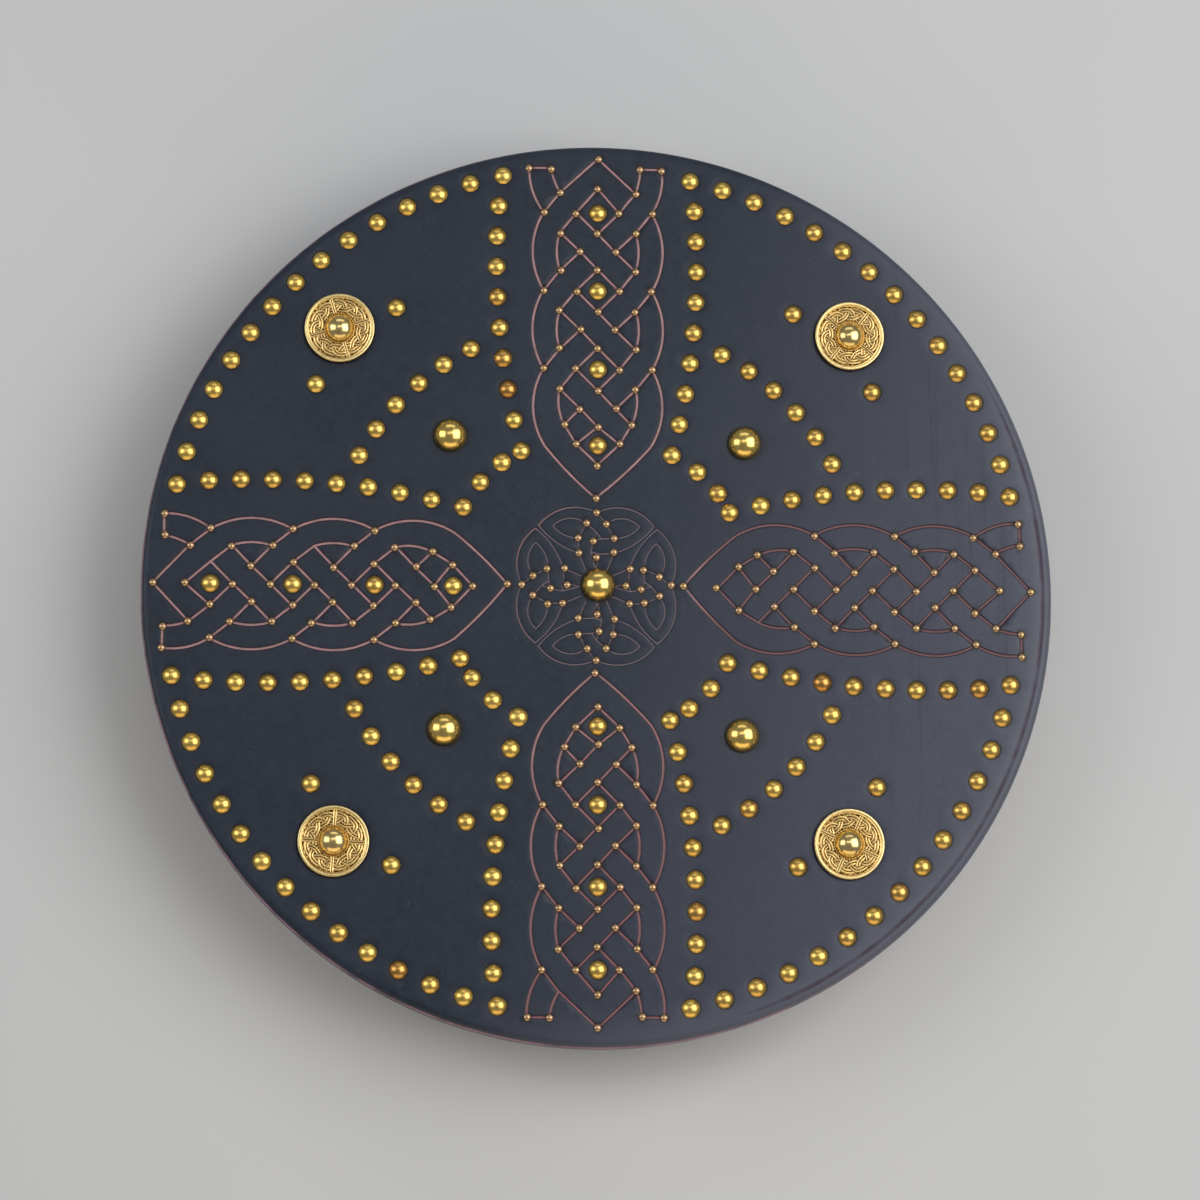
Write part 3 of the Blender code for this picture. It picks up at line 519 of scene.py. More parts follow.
class Shell:
    """Points, faces and per-point values of one piece."""

    def __init__(self):
        self.points = []
        self.faces = []
        self.values = {}

    def add_ring(self, points, **values):
        first = len(self.points)
        self.points.extend(points)
        for name in set(self.values) | set(values):
            known = self.values.setdefault(name, [0.0] * first)
            given = values.get(name, 0.0)
            known.extend([given] * len(points) if isinstance(given, (int, float)) else given)
        return list(range(first, len(self.points)))

    def bridge(self, ring, next_ring):
        """Join two rings of equal length, going down the outside of a counter-clockwise ring."""
        count = len(ring)
        for i in range(count):
            j = (i + 1) % count
            self.faces.append((ring[i], next_ring[i], next_ring[j], ring[j]))

    def bridge_all(self, rings):
        for ring, next_ring in zip(rings, rings[1:]):
            self.bridge(ring, next_ring)

    def fan(self, ring, tip):
        """Close a ring with a tip above its outer side."""
        count = len(ring)
        for i in range(count):
            self.faces.append((tip, ring[i], ring[(i + 1) % count]))

    def piece(self, name, material, replaced=(), sharp_degrees=40.0):
        mesh = bpy.data.meshes.new(name)
        mesh.from_pydata([tuple(p) for p in self.points], [], self.faces)
        mesh.validate()
        mesh.shade_smooth()
        mesh.set_sharp_from_angle(angle=math.radians(sharp_degrees))
        mesh.materials.append(material)
        for value_name, values in self.values.items():
            layer = mesh.attributes.new(value_name, "FLOAT", "POINT")
            layer.data.foreach_set("value", np.array(values, dtype=np.float32))
        made = bpy.data.objects.new(name, mesh)
        bpy.context.scene.collection.objects.link(made)
        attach(made, "root")
        if replaced:
            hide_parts(*replaced)


def cap_profile(radius, height, levels):
    """A low spherical cap from its top to its foot, as (radius, height) pairs."""
    sphere = (radius ** 2 + height ** 2) / (2 * height)
    widest = math.asin(radius / sphere)
    profile = [(0.0, height)]
    for i in range(1, levels + 1):
        angle = widest * i / levels
        profile.append((sphere * math.sin(angle), height - sphere * (1 - math.cos(angle))))
    return profile


def dome_profile(radius, low, high, levels):
    """A dome from its top to an upright foot, as (radius, height) pairs."""
    profile = [(0.0, high)]
    for i in range(1, levels + 1):
        angle = 0.5 * math.pi * i / levels
        profile.append((radius * math.sin(angle), low + (high - low) * math.cos(angle)))
    return profile


def add_turned(shell, profile, sides, matrix, **values):
    """Turn a profile of (radius, height) from the top of the axis downwards, placed by a matrix."""
    def placed(points):
        return shell.add_ring([tuple(matrix @ Vector(p)) for p in points], **values)

    tip = placed([(0.0, 0.0, profile[0][1])])[0]
    rings = [placed(circle(radius, sides, height)) for radius, height in profile[1:]]
    foot = placed([(0.0, 0.0, profile[-1][1])])[0]
    shell.fan(rings[0], tip)
    shell.bridge_all(rings)
    shell.fan(list(reversed(rings[-1])), foot)


def seated(place, height, tilt_degrees=0.0):
    """A place on the face, turned at random and leaning a little."""
    lean = Matrix.Rotation(math.radians(rng.gauss(0.0, tilt_degrees)), 4, "X")
    turn = Matrix.Rotation(rng.uniform(0.0, 2 * math.pi), 4, "Z")
    return Matrix.Translation((place[0], place[1], height)) @ turn @ lean


# Lines of the knotwork


def arc(start, end, bulge=0.0, steps=10):
    """Points from start to end, bulging to the left of the way by the given height."""
    start = Vector(start)
    end = Vector(end)
    if bulge == 0.0:
        return [start, end]
    chord = end - start
    half = chord.length / 2
    radius = (half ** 2 + bulge ** 2) / (2 * abs(bulge))
    half_angle = 2 * math.atan(abs(bulge) / half)
    left = Vector((-chord.y, chord.x)).normalized() * math.copysign(1.0, bulge)
    middle = (start + end) / 2 + left * (abs(bulge) - radius)
    along = chord.normalized()
    points = []
    for i in range(steps + 1):
        angle = half_angle * (2 * i / steps - 1)
        points.append(middle + (along * math.sin(angle) + left * math.cos(angle)) * radius)
    points[0] = start
    points[-1] = end
    return points


def arm_corners():
    """Named corners of one arm, as (outwards along the arm, to its right) from its outer end."""
    corners = {
        "tip": Vector((0.0, COLUMN_MIDDLE)),
        "point": Vector((-POINT_INSET, COLUMN_MIDDLE)),
        "spear_tip": Vector((-SPEARHEAD_TIP, COLUMN_MIDDLE)),
        "blade_tip": Vector((-BLADE_TIP, 0.0)),
    }
    for side, sign in SIDES:
        corners[f"inner_cap_{side}"] = Vector((-CAP_INSET, sign * CAP_INNER_OFFSET))
        corners[f"outer_cap_{side}"] = Vector((-CAP_INSET, sign * CAP_OUTER_OFFSET))
        shoulder = COLUMN_MIDDLE + sign * SPEARHEAD_HALF_WIDTH
        corners[f"shoulder_{side}"] = Vector((-SPEARHEAD_SHOULDER, shoulder))
        corners[f"neck_{side}"] = Vector((-SPEARHEAD_SIDE, COLUMN_MIDDLE + sign * SPEARHEAD_NECK))
    columns = (
        ("left", COLUMN_LEFT, SIDE_HALF_LENGTH, SIDE_HALF_WIDTH, 0.0),
        ("right", COLUMN_RIGHT, SIDE_HALF_LENGTH, SIDE_HALF_WIDTH, 0.0),
        ("middle", COLUMN_MIDDLE, MIDDLE_HALF_LENGTH, MIDDLE_HALF_WIDTH, CROSSING_PITCH / 2),
    )
    for name, across, half_length, half_width, further in columns:
        for i in range(CROSSING_ROWS):
            depth = FIRST_CROSSING + i * CROSSING_PITCH + further
            corners[f"{name}_{i}_out"] = Vector((-depth + half_length, across))
            corners[f"{name}_{i}_right"] = Vector((-depth, across + half_width))
            corners[f"{name}_{i}_in"] = Vector((-depth - half_length, across))
            corners[f"{name}_{i}_left"] = Vector((-depth, across - half_width))
    return corners


def arm_lines():
    """Lines of one knotwork arm between its corners."""
    c = arm_corners()
    straight = [("tip", "left_0_out"), ("tip", "right_0_out")]
    straight += [("point", "left_0_right"), ("point", "right_0_left")]
    lines = []
    for side, sign in SIDES:
        straight.append((f"inner_cap_{side}", f"outer_cap_{side}"))
        lines.append(arc(c[f"inner_cap_{side}"], c[f"{side}_0_out"], -sign * CAP_INNER_BULGE))
        lines.append(arc(c[f"outer_cap_{side}"], c[f"{side}_0_{side}"], -sign * CAP_OUTER_BULGE))
    for i in range(CROSSING_ROWS):
        for side in ("left", "right"):
            straight += [(f"{side}_{i}_out", f"{side}_{i}_left"), (f"{side}_{i}_right", f"{side}_{i}_in")]
        straight += [(f"middle_{i}_out", f"middle_{i}_right"), (f"middle_{i}_left", f"middle_{i}_in")]
        straight += [(f"left_{i}_right", f"middle_{i}_out"), (f"left_{i}_in", f"middle_{i}_left")]
        straight += [(f"right_{i}_left", f"middle_{i}_out"), (f"right_{i}_in", f"middle_{i}_right")]
    for i in range(CROSSING_ROWS - 1):
        below = i + 1
        straight += [(f"middle_{i}_right", f"right_{below}_out"), (f"middle_{i}_in", f"right_{below}_left")]
        straight += [(f"middle_{i}_in", f"left_{below}_right"), (f"middle_{i}_left", f"left_{below}_out")]
        for side, sign in SIDES:
            lines.append(arc(c[f"{side}_{i}_in"], c[f"{side}_{below}_out"], -sign * WAIST_BULGE))
            start, end = c[f"{side}_{i}_{side}"], c[f"{side}_{below}_{side}"]
            lines.append(arc(start, end, -sign * SCALLOP_BULGE, SCALLOP_STEPS))
    last = CROSSING_ROWS - 1
    for side, sign in SIDES:
        blade_shoulder = Vector((-BLADE_SHOULDER, COLUMN_MIDDLE + sign * BLADE_HALF_WIDTH))
        straight += [(f"middle_{last}_{side}", f"shoulder_{side}"), (f"middle_{last}_in", f"neck_{side}")]
        straight += [(f"shoulder_{side}", f"neck_{side}"), (f"neck_{side}", "spear_tip")]
        lines.append(arc(c[f"{side}_{last}_in"], c[f"shoulder_{side}"], -sign * WAIST_BULGE))
        start = c[f"{side}_{last}_{side}"]
        lines.append(arc(start, blade_shoulder, -sign * SCALLOP_BULGE, SCALLOP_STEPS))
        lines.append(arc(blade_shoulder, c["blade_tip"], -sign * BLADE_SIDE_BULGE))
    return lines + [arc(c[start], c[end]) for start, end in straight]


def lobe_lines():
    """Lines of one lobe of the centre knot, as (across, outwards) shares of the knot's radius."""
    def left(point):
        return (-point[0], point[1])

    tip, lens, top = LOBE_TIP, LENS_TIP, OUTER_CROSSING_TOP
    side, foot = OUTER_CROSSING_SIDE, OUTER_CROSSING_FOOT
    high, low = SIDE_CROSSING_TOP, SIDE_CROSSING_FOOT
    return [
        arc(left(tip), top, LOBE_BULGE), arc(tip, top, -LOBE_BULGE),
        arc(left(lens), left(side), LENS_BULGE), arc(lens, side, -LENS_BULGE),
        arc(left(tip), left(low), -LOBE_SIDE_BULGE), arc(tip, low, LOBE_SIDE_BULGE),
        arc(left(lens), left(high), -LENS_SIDE_BULGE), arc(lens, high, LENS_SIDE_BULGE),
        arc(top, side), arc(side, high), arc(left(side), left(high)), arc(left(high), left(low)),
        arc(left(side), foot), arc(foot, INNER_CORNER_RIGHT), arc(foot, INNER_CORNER_LEFT),
        arc(INNER_CORNER_LEFT, INNER_CORNER_RIGHT), arc(INNER_CORNER_RIGHT, high),
        arc(INNER_CORNER_LEFT, LOWER_CORNER_LEFT), arc(LOWER_CORNER_LEFT, LOWER_CORNER_RIGHT),
        arc(LOWER_CORNER_RIGHT, low), arc(LOWER_CORNER_LEFT, FOOT_INNER),
        arc(LOWER_CORNER_RIGHT, FOOT_INNER), arc(left(low), left(FOOT_OUTER)), arc(low, FOOT_OUTER),
    ]


def arms():
    """The four arms as (name, function from along and across the arm to the face)."""
    return (
        ("top", lambda u, v: Vector((v, u))),
        ("left", lambda u, v: Vector((-u, -v))),
        ("bottom", lambda u, v: Vector((v, -u))),
        ("right", lambda u, v: Vector((u, -v))),
    )


def lobe_turns():
    return (
        lambda p: Vector((p[0], p[1])),
        lambda p: Vector((-p[1], p[0])),
        lambda p: Vector((-p[0], -p[1])),
        lambda p: Vector((p[1], p[0])),
    )


def on_arm(place, point):
    return place(TARGE_RADIUS - KNOT_INSET + point.x, point.y) + PATTERN_SHIFT


def on_lobe(turn, point):
    return turn(point) * CENTRE_KNOT_RADIUS + CENTRE_KNOT_SHIFT


def knot_tack_places():
    """Places of the small tacks, at the corners of the knotwork, without the lost ones."""
    places = []
    for arm, place in arms():
        for name, corner in arm_corners().items():
            if name not in MISSING_TACKS[arm]:
                places.append(on_arm(place, corner))
    lobe = [OUTER_CROSSING_TOP, INNER_CORNER_LEFT, FOOT_TACK]
    for x, y in (OUTER_CROSSING_SIDE, SIDE_CROSSING_TOP, SIDE_CROSSING_FOOT):
        lobe += [(x, y), (-x, y)]
    for turn in lobe_turns():
        places += [on_lobe(turn, point) for point in lobe]
    return [p + Vector((rng.gauss(0.0, TACK_SLIP), rng.gauss(0.0, TACK_SLIP))) for p in places]


def row_nail_places():
    """Tops of the nail heads that are one with the facing's solid."""
    places = {}
    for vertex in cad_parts["facing"].data.vertices:
        if vertex.co.z > FACE + 0.9 * NAIL_HEIGHT:
            places[round(vertex.co.x, 4), round(vertex.co.y, 4)] = Vector(vertex.co[:2])
    return [places[key] for key in sorted(places)]


def middle_of(node):
    low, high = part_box(node)
    return Vector(((low.x + high.x) / 2, (low.y + high.y) / 2))


class LineNet:
    """Cut lines that meet at shared points, as rows of points and edges beside each line."""

    WELD = 0.00005

    def __init__(self, lines, share):
        self.share = share
        self.nodes = []
        self.neighbours = []
        for line in lines:
            numbers = [self.node(point) for point in line]
            for a, b in zip(numbers, numbers[1:]):
                if a != b and b not in self.neighbours[a]:
                    self.neighbours[a].append(b)
                    self.neighbours[b].append(a)
        ends = [(*self.nodes[a], *self.nodes[b]) for a, b in self.segments()]
        self.ends = np.array(ends)

    def node(self, point):
        for number, known in enumerate(self.nodes):
            if (known - point).length < self.WELD:
                return number
        self.nodes.append(point)
        self.neighbours.append([])
        return len(self.nodes) - 1

    def segments(self):
        for a, around in enumerate(self.neighbours):
            for b in around:
                if a < b:
                    yield a, b

    def stepped(self, points, edges, first, last):
        """Add an edge in steps short enough to follow the leather's swell."""
        start, end = points[first], points[last]
        count = max(1, round((end - start).length / LINE_STEP))
        before = first
        for i in range(1, count):
            points.append(start.lerp(end, i / count))
            edges.append((before, len(points) - 1))
            before = len(points) - 1
        edges.append((before, last))

    def middle_rows(self):
        points = list(self.nodes)
        edges = []
        for a, b in self.segments():
            self.stepped(points, edges, a, b)
        return points, edges

    def bank_rows(self, half_width):
        """Rows beside each line, mitred where lines meet and round a line's loose end."""
        points = []
        edges = []
        banks = {}
        for a, around in enumerate(self.neighbours):
            here = self.nodes[a]
            ways = sorted((math.atan2(*(self.nodes[b] - here).yx), b) for b in around)
            for i, (angle, b) in enumerate(ways):
                next_angle, next_b = ways[(i + 1) % len(ways)]
                gap = (next_angle - angle) % (2 * math.pi) or 2 * math.pi
                if gap > 1.4 * math.pi:
                    banks[a, b, "left"] = len(points)
                    banks[a, next_b, "right"] = len(points) + 2
                    edges += [(len(points), len(points) + 1), (len(points) + 1, len(points) + 2)]
                    points.append(here + polar(half_width, angle + math.pi / 2))
                    points.append(here + polar(half_width, angle + gap / 2))
                    points.append(here + polar(half_width, next_angle - math.pi / 2))
                    continue
                reach = half_width / math.sin(gap / 2)
                longest = 0.4 * min((self.nodes[b] - here).length, (self.nodes[next_b] - here).length)
                banks[a, b, "left"] = banks[a, next_b, "right"] = len(points)
                points.append(here + polar(min(reach, max(longest, half_width)), angle + gap / 2))
        for a, b in self.segments():
            self.stepped(points, edges, banks[a, b, "left"], banks[b, a, "right"])
            self.stepped(points, edges, banks[a, b, "right"], banks[b, a, "left"])
        return points, edges

    def distance(self, ground):
        """Distance from each ground point to the nearest line, divided by the net's share of a full cut."""
        result = np.full(len(ground), 1.0)
        low = np.minimum(self.ends[:, :2].min(axis=0), self.ends[:, 2:].min(axis=0)) - 0.006
        high = np.maximum(self.ends[:, :2].max(axis=0), self.ends[:, 2:].max(axis=0)) + 0.006
        near = np.where(((ground > low) & (ground < high)).all(axis=1))[0]
        start = self.ends[:, :2]
        way = self.ends[:, 2:] - start
        length = (way ** 2).sum(axis=1)
        for part in np.array_split(near, max(1, len(near) // 4000)):
            from_start = ground[part][:, None, :] - start
            along = np.clip((from_start * way).sum(axis=2) / length, 0.0, 1.0)
            gap = np.linalg.norm(from_start - along[:, :, None] * way, axis=2).min(axis=1)
            result[part] = gap / self.share
        return result


def cut_height(distance):
    """Height of the leather at a distance from a full-width cut."""
    bottom = -CUT_DEPTH * (1.0 - smooth((distance - CUT_BOTTOM) / (CUT_EDGE - CUT_BOTTOM)))
    lip = CUT_LIP_HEIGHT * (1.0 - smooth(np.abs(distance - CUT_LIP) / (CUT_REACH - CUT_LIP)))
    return bottom + lip


def nearest(ground, places):
    """Distance from each ground point to the nearest place."""
    result = np.full(len(ground), 1.0)
    for part in np.array_split(np.array([p[:] for p in places]), max(1, len(places) // 40)):
        gaps = np.linalg.norm(ground[:, None, :] - part[None, :, :], axis=2).min(axis=1)
        result = np.minimum(result, gaps)
    return result


def swell(ground):
    """The slow rise and fall of leather over wood."""
    heights = []
    for x, y in ground:
        broad = noise.noise(Vector((x / SWELL_SIZE, y / SWELL_SIZE, 3.1)))
        fine = noise.noise(Vector((x / SWELL_SIZE * 3.4, y / SWELL_SIZE * 3.4, 7.7)))
        heights.append(broad + 0.35 * fine)
    return SWELL_HEIGHT * np.array(heights)


class Sketch:
    """Points and edges that the mesh of the face follows."""

    def __init__(self):
        self.points = []
        self.edges = []

    def add(self, points, edges=()):
        first = len(self.points)
        self.points.extend(points)
        self.edges.extend((first + a, first + b) for a, b in edges)

    def add_circle(self, radius, sides, middle=(0.0, 0.0)):
        ring = [Vector(middle) + Vector(p[:2]) for p in circle(radius, sides, 0.0)]
        self.add(ring, [(i, (i + 1) % sides) for i in range(sides)])


def cut_nets():
    """The cut lines of each arm and of the centre knot."""
    nets = []
    for _, place in arms():
        nets.append(LineNet([[on_arm(place, point) for point in line] for line in arm_lines()], 1.0))
    centre = []
    for turn in lobe_turns():
        centre += [[on_lobe(turn, point) for point in line] for line in lobe_lines()]
    return nets + [LineNet(centre, CENTRE_CUT_SHARE)]


def head_gaps(ground, heads):
    """Distances from ground points to the edge of the nearest head, one array for each size of head."""
    gaps = []
    for size in sorted({radius for _, radius in heads}):
        gaps.append(nearest(ground, [place for place, radius in heads if radius == size]) - size)
    return gaps


def fill_points(nets, heads):
    """Points spread over the rest of the face, clear of the cuts, the heads and the crease."""
    reach = TARGE_RADIUS - SHOULDER_RADIUS
    fill = []
    for row in range(int(2 * reach / (FILL_SPACING * FILL_ROW_SHARE))):
        y = -reach + row * FILL_SPACING * FILL_ROW_SHARE
        for column in range(int(2 * reach / FILL_SPACING)):
            x = -reach + (column + 0.5 * (row % 2)) * FILL_SPACING
            if math.hypot(x, y) < CREASE_RADIUS - FILL_FROM_CREASE:
                fill.append((x, y))
    fill = np.array(fill)
    keep = np.ones(len(fill), bool)
    for net in nets:
        keep &= net.distance(fill) > (CUT_LIP + FILL_FROM_CUT) / net.share
    for gap in head_gaps(fill, heads):
        keep &= gap > FILL_FROM_HEAD
    return [Vector(p) for p in fill[keep]]


def face_relief(ground, nets, heads, tacks):
    """Heights of the face, with its shares of cut, crease and painted shade round the heads at each ground
    point.
    """
    radius = np.linalg.norm(ground, axis=1)
    angle = np.arctan2(ground[:, 1], ground[:, 0])
    distance = np.full(len(ground), 1.0)
    for net in nets:
        distance = np.minimum(distance, net.distance(ground))
    heights = FACE + cut_height(distance)
    heights += swell(ground) * (1.0 - smooth((radius - SWELL_UNTIL) / SWELL_FADE))
    # Painted shade: the leather darkened round the heads and tacks, where their contact shadow falls
    grime = np.zeros(len(ground))
    for gap in head_gaps(ground, heads):
        heights -= DIMPLE_DEPTH * np.exp(-(np.clip(gap, 0.0, None) / DIMPLE_REACH) ** 2)
        grime = np.maximum(grime, 1.0 - smooth((gap - 0.0002) / PAINTED_SHADE_REACH))
    to_tack = nearest(ground, tacks)
    heights -= 0.4 * DIMPLE_DEPTH * np.exp(-(to_tack / (1.7 * TACK_RADIUS)) ** 4)
    grime = np.maximum(grime, 0.8 * (1.0 - smooth((to_tack - TACK_RADIUS) / 0.0006)))
    crease = np.clip(1.0 - np.abs(radius - CREASE_RADIUS) / (CREASE_REACH * CREASE_HALF_WIDTH), 0.0, None)
    crease *= smooth((angle - CREASE_FROM) / CREASE_FADE) * smooth((CREASE_TO - angle) / CREASE_FADE)
    heights -= CREASE_DEPTH * smooth(crease)
    values = {
        "cut": np.clip(distance / CUT_REACH, 0.0, 1.0).tolist(),
        "crease": np.clip(1.1 * crease, 0.0, 0.75).tolist(),
        "grime": grime.tolist(),
    }
    return heights, values


def face_skin(heads, tacks):
    """Points, faces and values of the tooled face, and the numbers of its rim points."""
    nets = cut_nets()
    sketch = Sketch()
    sketch.add_circle(TARGE_RADIUS - SHOULDER_RADIUS, RIM_SIDES)
    for offset in CREASE_RINGS:
        sketch.add_circle(CREASE_RADIUS + offset * CREASE_HALF_WIDTH, RIM_SIDES)
    for net in nets:
        sketch.add(*net.middle_rows())
        for half_width in (CUT_BOTTOM, CUT_EDGE, CUT_LIP):
            sketch.add(*net.bank_rows(half_width * net.share))
    for place, radius in heads:
        for wider in HEAD_RINGS:
            sketch.add_circle(radius + wider, HEAD_SIDES, place)
    sketch.add(fill_points(nets, heads))

    flat, _, faces, origins, _, _ = delaunay_2d_cdt(sketch.points, sketch.edges, [], 0, 1e-6)
    numbers = {source: number for number, sources in enumerate(origins) for source in sources}
    upright = []
    for a, b, c in faces:
        turn = (flat[b] - flat[a]).cross(flat[c] - flat[a])
        upright.append((a, b, c) if turn > 0 else (a, c, b))
    ground = np.array([p[:] for p in flat])
    heights, values = face_relief(ground, nets, heads, tacks)
    points = [(x, y, z) for (x, y), z in zip(ground, heights)]
    return points, upright, values, [numbers[i] for i in range(RIM_SIDES)]


def edge_profile():
    """The facing from its shoulder to its inner side, as (radius, height, depth of the pleats)."""
    profile = []
    for i in range(1, SHOULDER_STEPS + 1):
        angle = 0.5 * math.pi * i / SHOULDER_STEPS
        radius = TARGE_RADIUS - SHOULDER_RADIUS * (1 - math.sin(angle))
        profile.append((radius, FACE - SHOULDER_RADIUS * (1 - math.cos(angle)), 0.0))
    for share in (0.15, 0.30, 0.60):
        height = FACE - SHOULDER_RADIUS + (HEM_LOW - FACE + SHOULDER_RADIUS) * share
        profile.append((TARGE_RADIUS, height, 0.0))
    profile.append((TARGE_RADIUS, HEM_LOW + HEM_ROUNDING, 0.0))
    profile.append((TARGE_RADIUS - 0.35 * HEM_ROUNDING, HEM_LOW + 0.35 * HEM_ROUNDING, 0.2))
    profile.append((TARGE_RADIUS - HEM_ROUNDING, HEM_LOW, 0.6))
    hem_inner = LINING_RADIUS + GAP
    for share in (0.2, 0.4, 0.6, 0.8, 0.96):
        profile.append((TARGE_RADIUS - share * (TARGE_RADIUS - hem_inner), HEM_LOW, 1.0 - 0.7 * share))
    inner = TARGE_RADIUS - LEATHER_THICKNESS
    profile += [(hem_inner, HEM_LOW + 0.0004, 0.0), (hem_inner, LINING_HIGH, 0.0)]
    return profile + [(inner, LINING_HIGH, 0.0), (inner, BOARD_HIGH + GAP, 0.0)]


def add_edge_ring(shell, radius, height, pleat):
    """One ring of the edge, with shade in its folds and raw leather on the left of the shoulder."""
    points = []
    raw = []
    fold_shade = []
    outer = smooth((radius - TARGE_RADIUS + 0.30 * SHOULDER_RADIUS) / 0.0008)
    above = smooth((height - FACE + 0.95 * SHOULDER_RADIUS) / 0.0012)
    for x, y, z in circle(radius, RIM_SIDES, height):
        angle = math.atan2(y, x)
        wander = 1.2 * noise.noise(Vector((2.2 * math.cos(angle), 2.2 * math.sin(angle), 5.0)))
        fold = abs(math.sin(0.5 * (PLEATS * angle + wander)))
        points.append((x, y, z - PLEAT_DEPTH * pleat * (1.0 - fold ** 0.5)))
        fold_shade.append(pleat * (1.0 - fold ** 0.5))
        left_side = smooth((math.cos(angle - RAW_EDGE_MIDDLE) + 0.35) / 0.5)
        raw.append(float(0.85 * outer * above * left_side))
    # The darkening in the folds is painted shade
    return shell.add_ring(points, cut=1.0, crease=0.0, grime=fold_shade, raw_edge=raw)


def make_facing(heads, tacks):
    """The tooled leather with its rounded edge, and the hem that is pleated onto the back."""
    shell = Shell()
    points, faces, values, rim = face_skin(heads, tacks)
    shell.add_ring(points, raw_edge=0.0, **values)
    shell.faces += faces
    rings = [rim] + [add_edge_ring(shell, *level) for level in edge_profile()]
    shell.bridge_all(rings)
    shell.faces.append(tuple(reversed(rings[-1])))
    shell.piece("leather_facing", facing_finish(), ["facing"], 55.0)


def nail_profile(radius, height, levels):
    """A domed head whose foot goes a little into the leather."""
    return cap_profile(radius, height, levels) + [(radius * 0.985, -SUNK)]


def tack_profile():
    return cap_profile(TACK_RADIUS, TACK_HEIGHT, 4) + [(TACK_RADIUS, -SUNK)]


def nail_tone(place):
    """Share of copper in a nail's colour. A few are coppery, and those on the right are browner."""
    tone = rng.gauss(0.10, 0.10) + (0.45 if rng.random() < 0.03 else 0.0)
    tone += RIGHT_NAIL_TONE * max(0.0, place.x) / TARGE_RADIUS
    if any((Vector(known) - place).length < NAIL_RADIUS for known in COPPERY_NAILS):
        tone += 0.60
    return min(1.0, max(0.0, tone))


def make_row_nails(places, brass):
    shell = Shell()
    for place in places:
        size = rng.gauss(1.0, 0.012)
        profile = nail_profile(NAIL_RADIUS * size, NAIL_HEIGHT * rng.gauss(1.0, 0.03), 7)
        seat = seated(place, FACE - 0.0001, 2.0)
        add_turned(shell, profile, ROW_NAIL_SIDES, seat, tone=nail_tone(place))
    shell.piece("row_nails", brass, ["facing"])


def make_lone_nail(node, brass):
    shell = Shell()
    place = middle_of(node)
    seat = seated(place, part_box(node)[0].z - GAP, 1.5)
    profile = nail_profile(NAIL_RADIUS, NAIL_HEIGHT, 8)
    add_turned(shell, profile, LONE_NAIL_SIDES, seat, tone=nail_tone(place))
    shell.piece(f"{node}_head", brass, [node])


def make_tacks(places, brass):
    shell = Shell()
    for place in places:
        seat = seated(place, FACE - 0.00012, 4.0)
        add_turned(shell, tack_profile(), TACK_SIDES, seat, tone=rng.uniform(0.0, 0.7))
    shell.piece("knot_tacks", brass)


def make_hem_tacks(brass):
    """A ring of tacks that holds the hem, heads down, a little uneven."""
    shell = Shell()
    for i in range(HEM_TACKS):
        radius = TARGE_RADIUS - HEM_TACK_INSET + rng.gauss(0.0, 0.0006)
        place = polar(radius, 2 * math.pi * (i + rng.gauss(0.0, 0.08)) / HEM_TACKS)
        under = Matrix.Translation((place.x, place.y, HEM_LOW)) @ Matrix.Rotation(math.pi, 4, "X")
        add_turned(shell, tack_profile(), TACK_SIDES, under, tone=rng.uniform(0.4, 0.9))
    shell.piece("hem_tacks", brass)


def make_dome(node, brass):
    """A high domed boss or stud, whose foot meets what it sits on."""
    low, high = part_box(node)
    radius = (high.x - low.x) / 2
    seat = FACE + GAP if node.startswith("boss") else high.z - STUD_HEIGHT
    profile = dome_profile(radius, 0.0, high.z - seat, DOME_LEVELS)
    profile.append((radius * 0.985, -GAP - 0.0003))
    shell = Shell()
    add_turned(shell, profile, DOME_SIDES, Matrix.Translation((*middle_of(node), seat)), tone=0.0)
    shell.piece(f"{node}_dome", brass, [node])


def plait_height(turn, share):
    """Height of the cast band. Three grooved strands are plaited between four double bars."""
    from_bar = (turn + math.pi / 4) % (math.pi / 2) - math.pi / 4
    across_bar = abs(from_bar) * (1.0 / PLAIT_BAND - 0.5 + share) / BAR_HALF_WIDTH
    if across_bar < 1.0:
        return 0.95 * abs(math.sin(math.pi * across_bar)) ** 0.5
    upper = -2.0
    height = 0.0
    for strand in range(3):
        phase = PLAIT_REPEATS * turn + 2 * math.pi * strand / 3
        wave = math.tanh(PLAIT_SQUARENESS * math.sin(phase))
        slope = PLAIT_SWING * PLAIT_SQUARENESS * (1.0 - wave * wave) * math.cos(phase)
        half_width = PLAIT_HALF_WIDTH * math.hypot(1.0, slope * PLAIT_REPEATS * PLAIT_BAND)
        across = (share - 0.5 - PLAIT_SWING * wave) / half_width
        over = math.sin(2 * phase)
        if abs(across) < 1.0 and over > upper:
            upper = over
            height = (0.86 + 0.14 * over) * abs(math.sin(math.pi * across)) ** 0.55
    if upper > -2.0:
        return height
    curl = math.sin(math.pi * (3.2 * share + 0.9 * math.sin(2 * PLAIT_REPEATS * turn + 0.7)))
    return 0.55 * abs(curl) ** 1.6


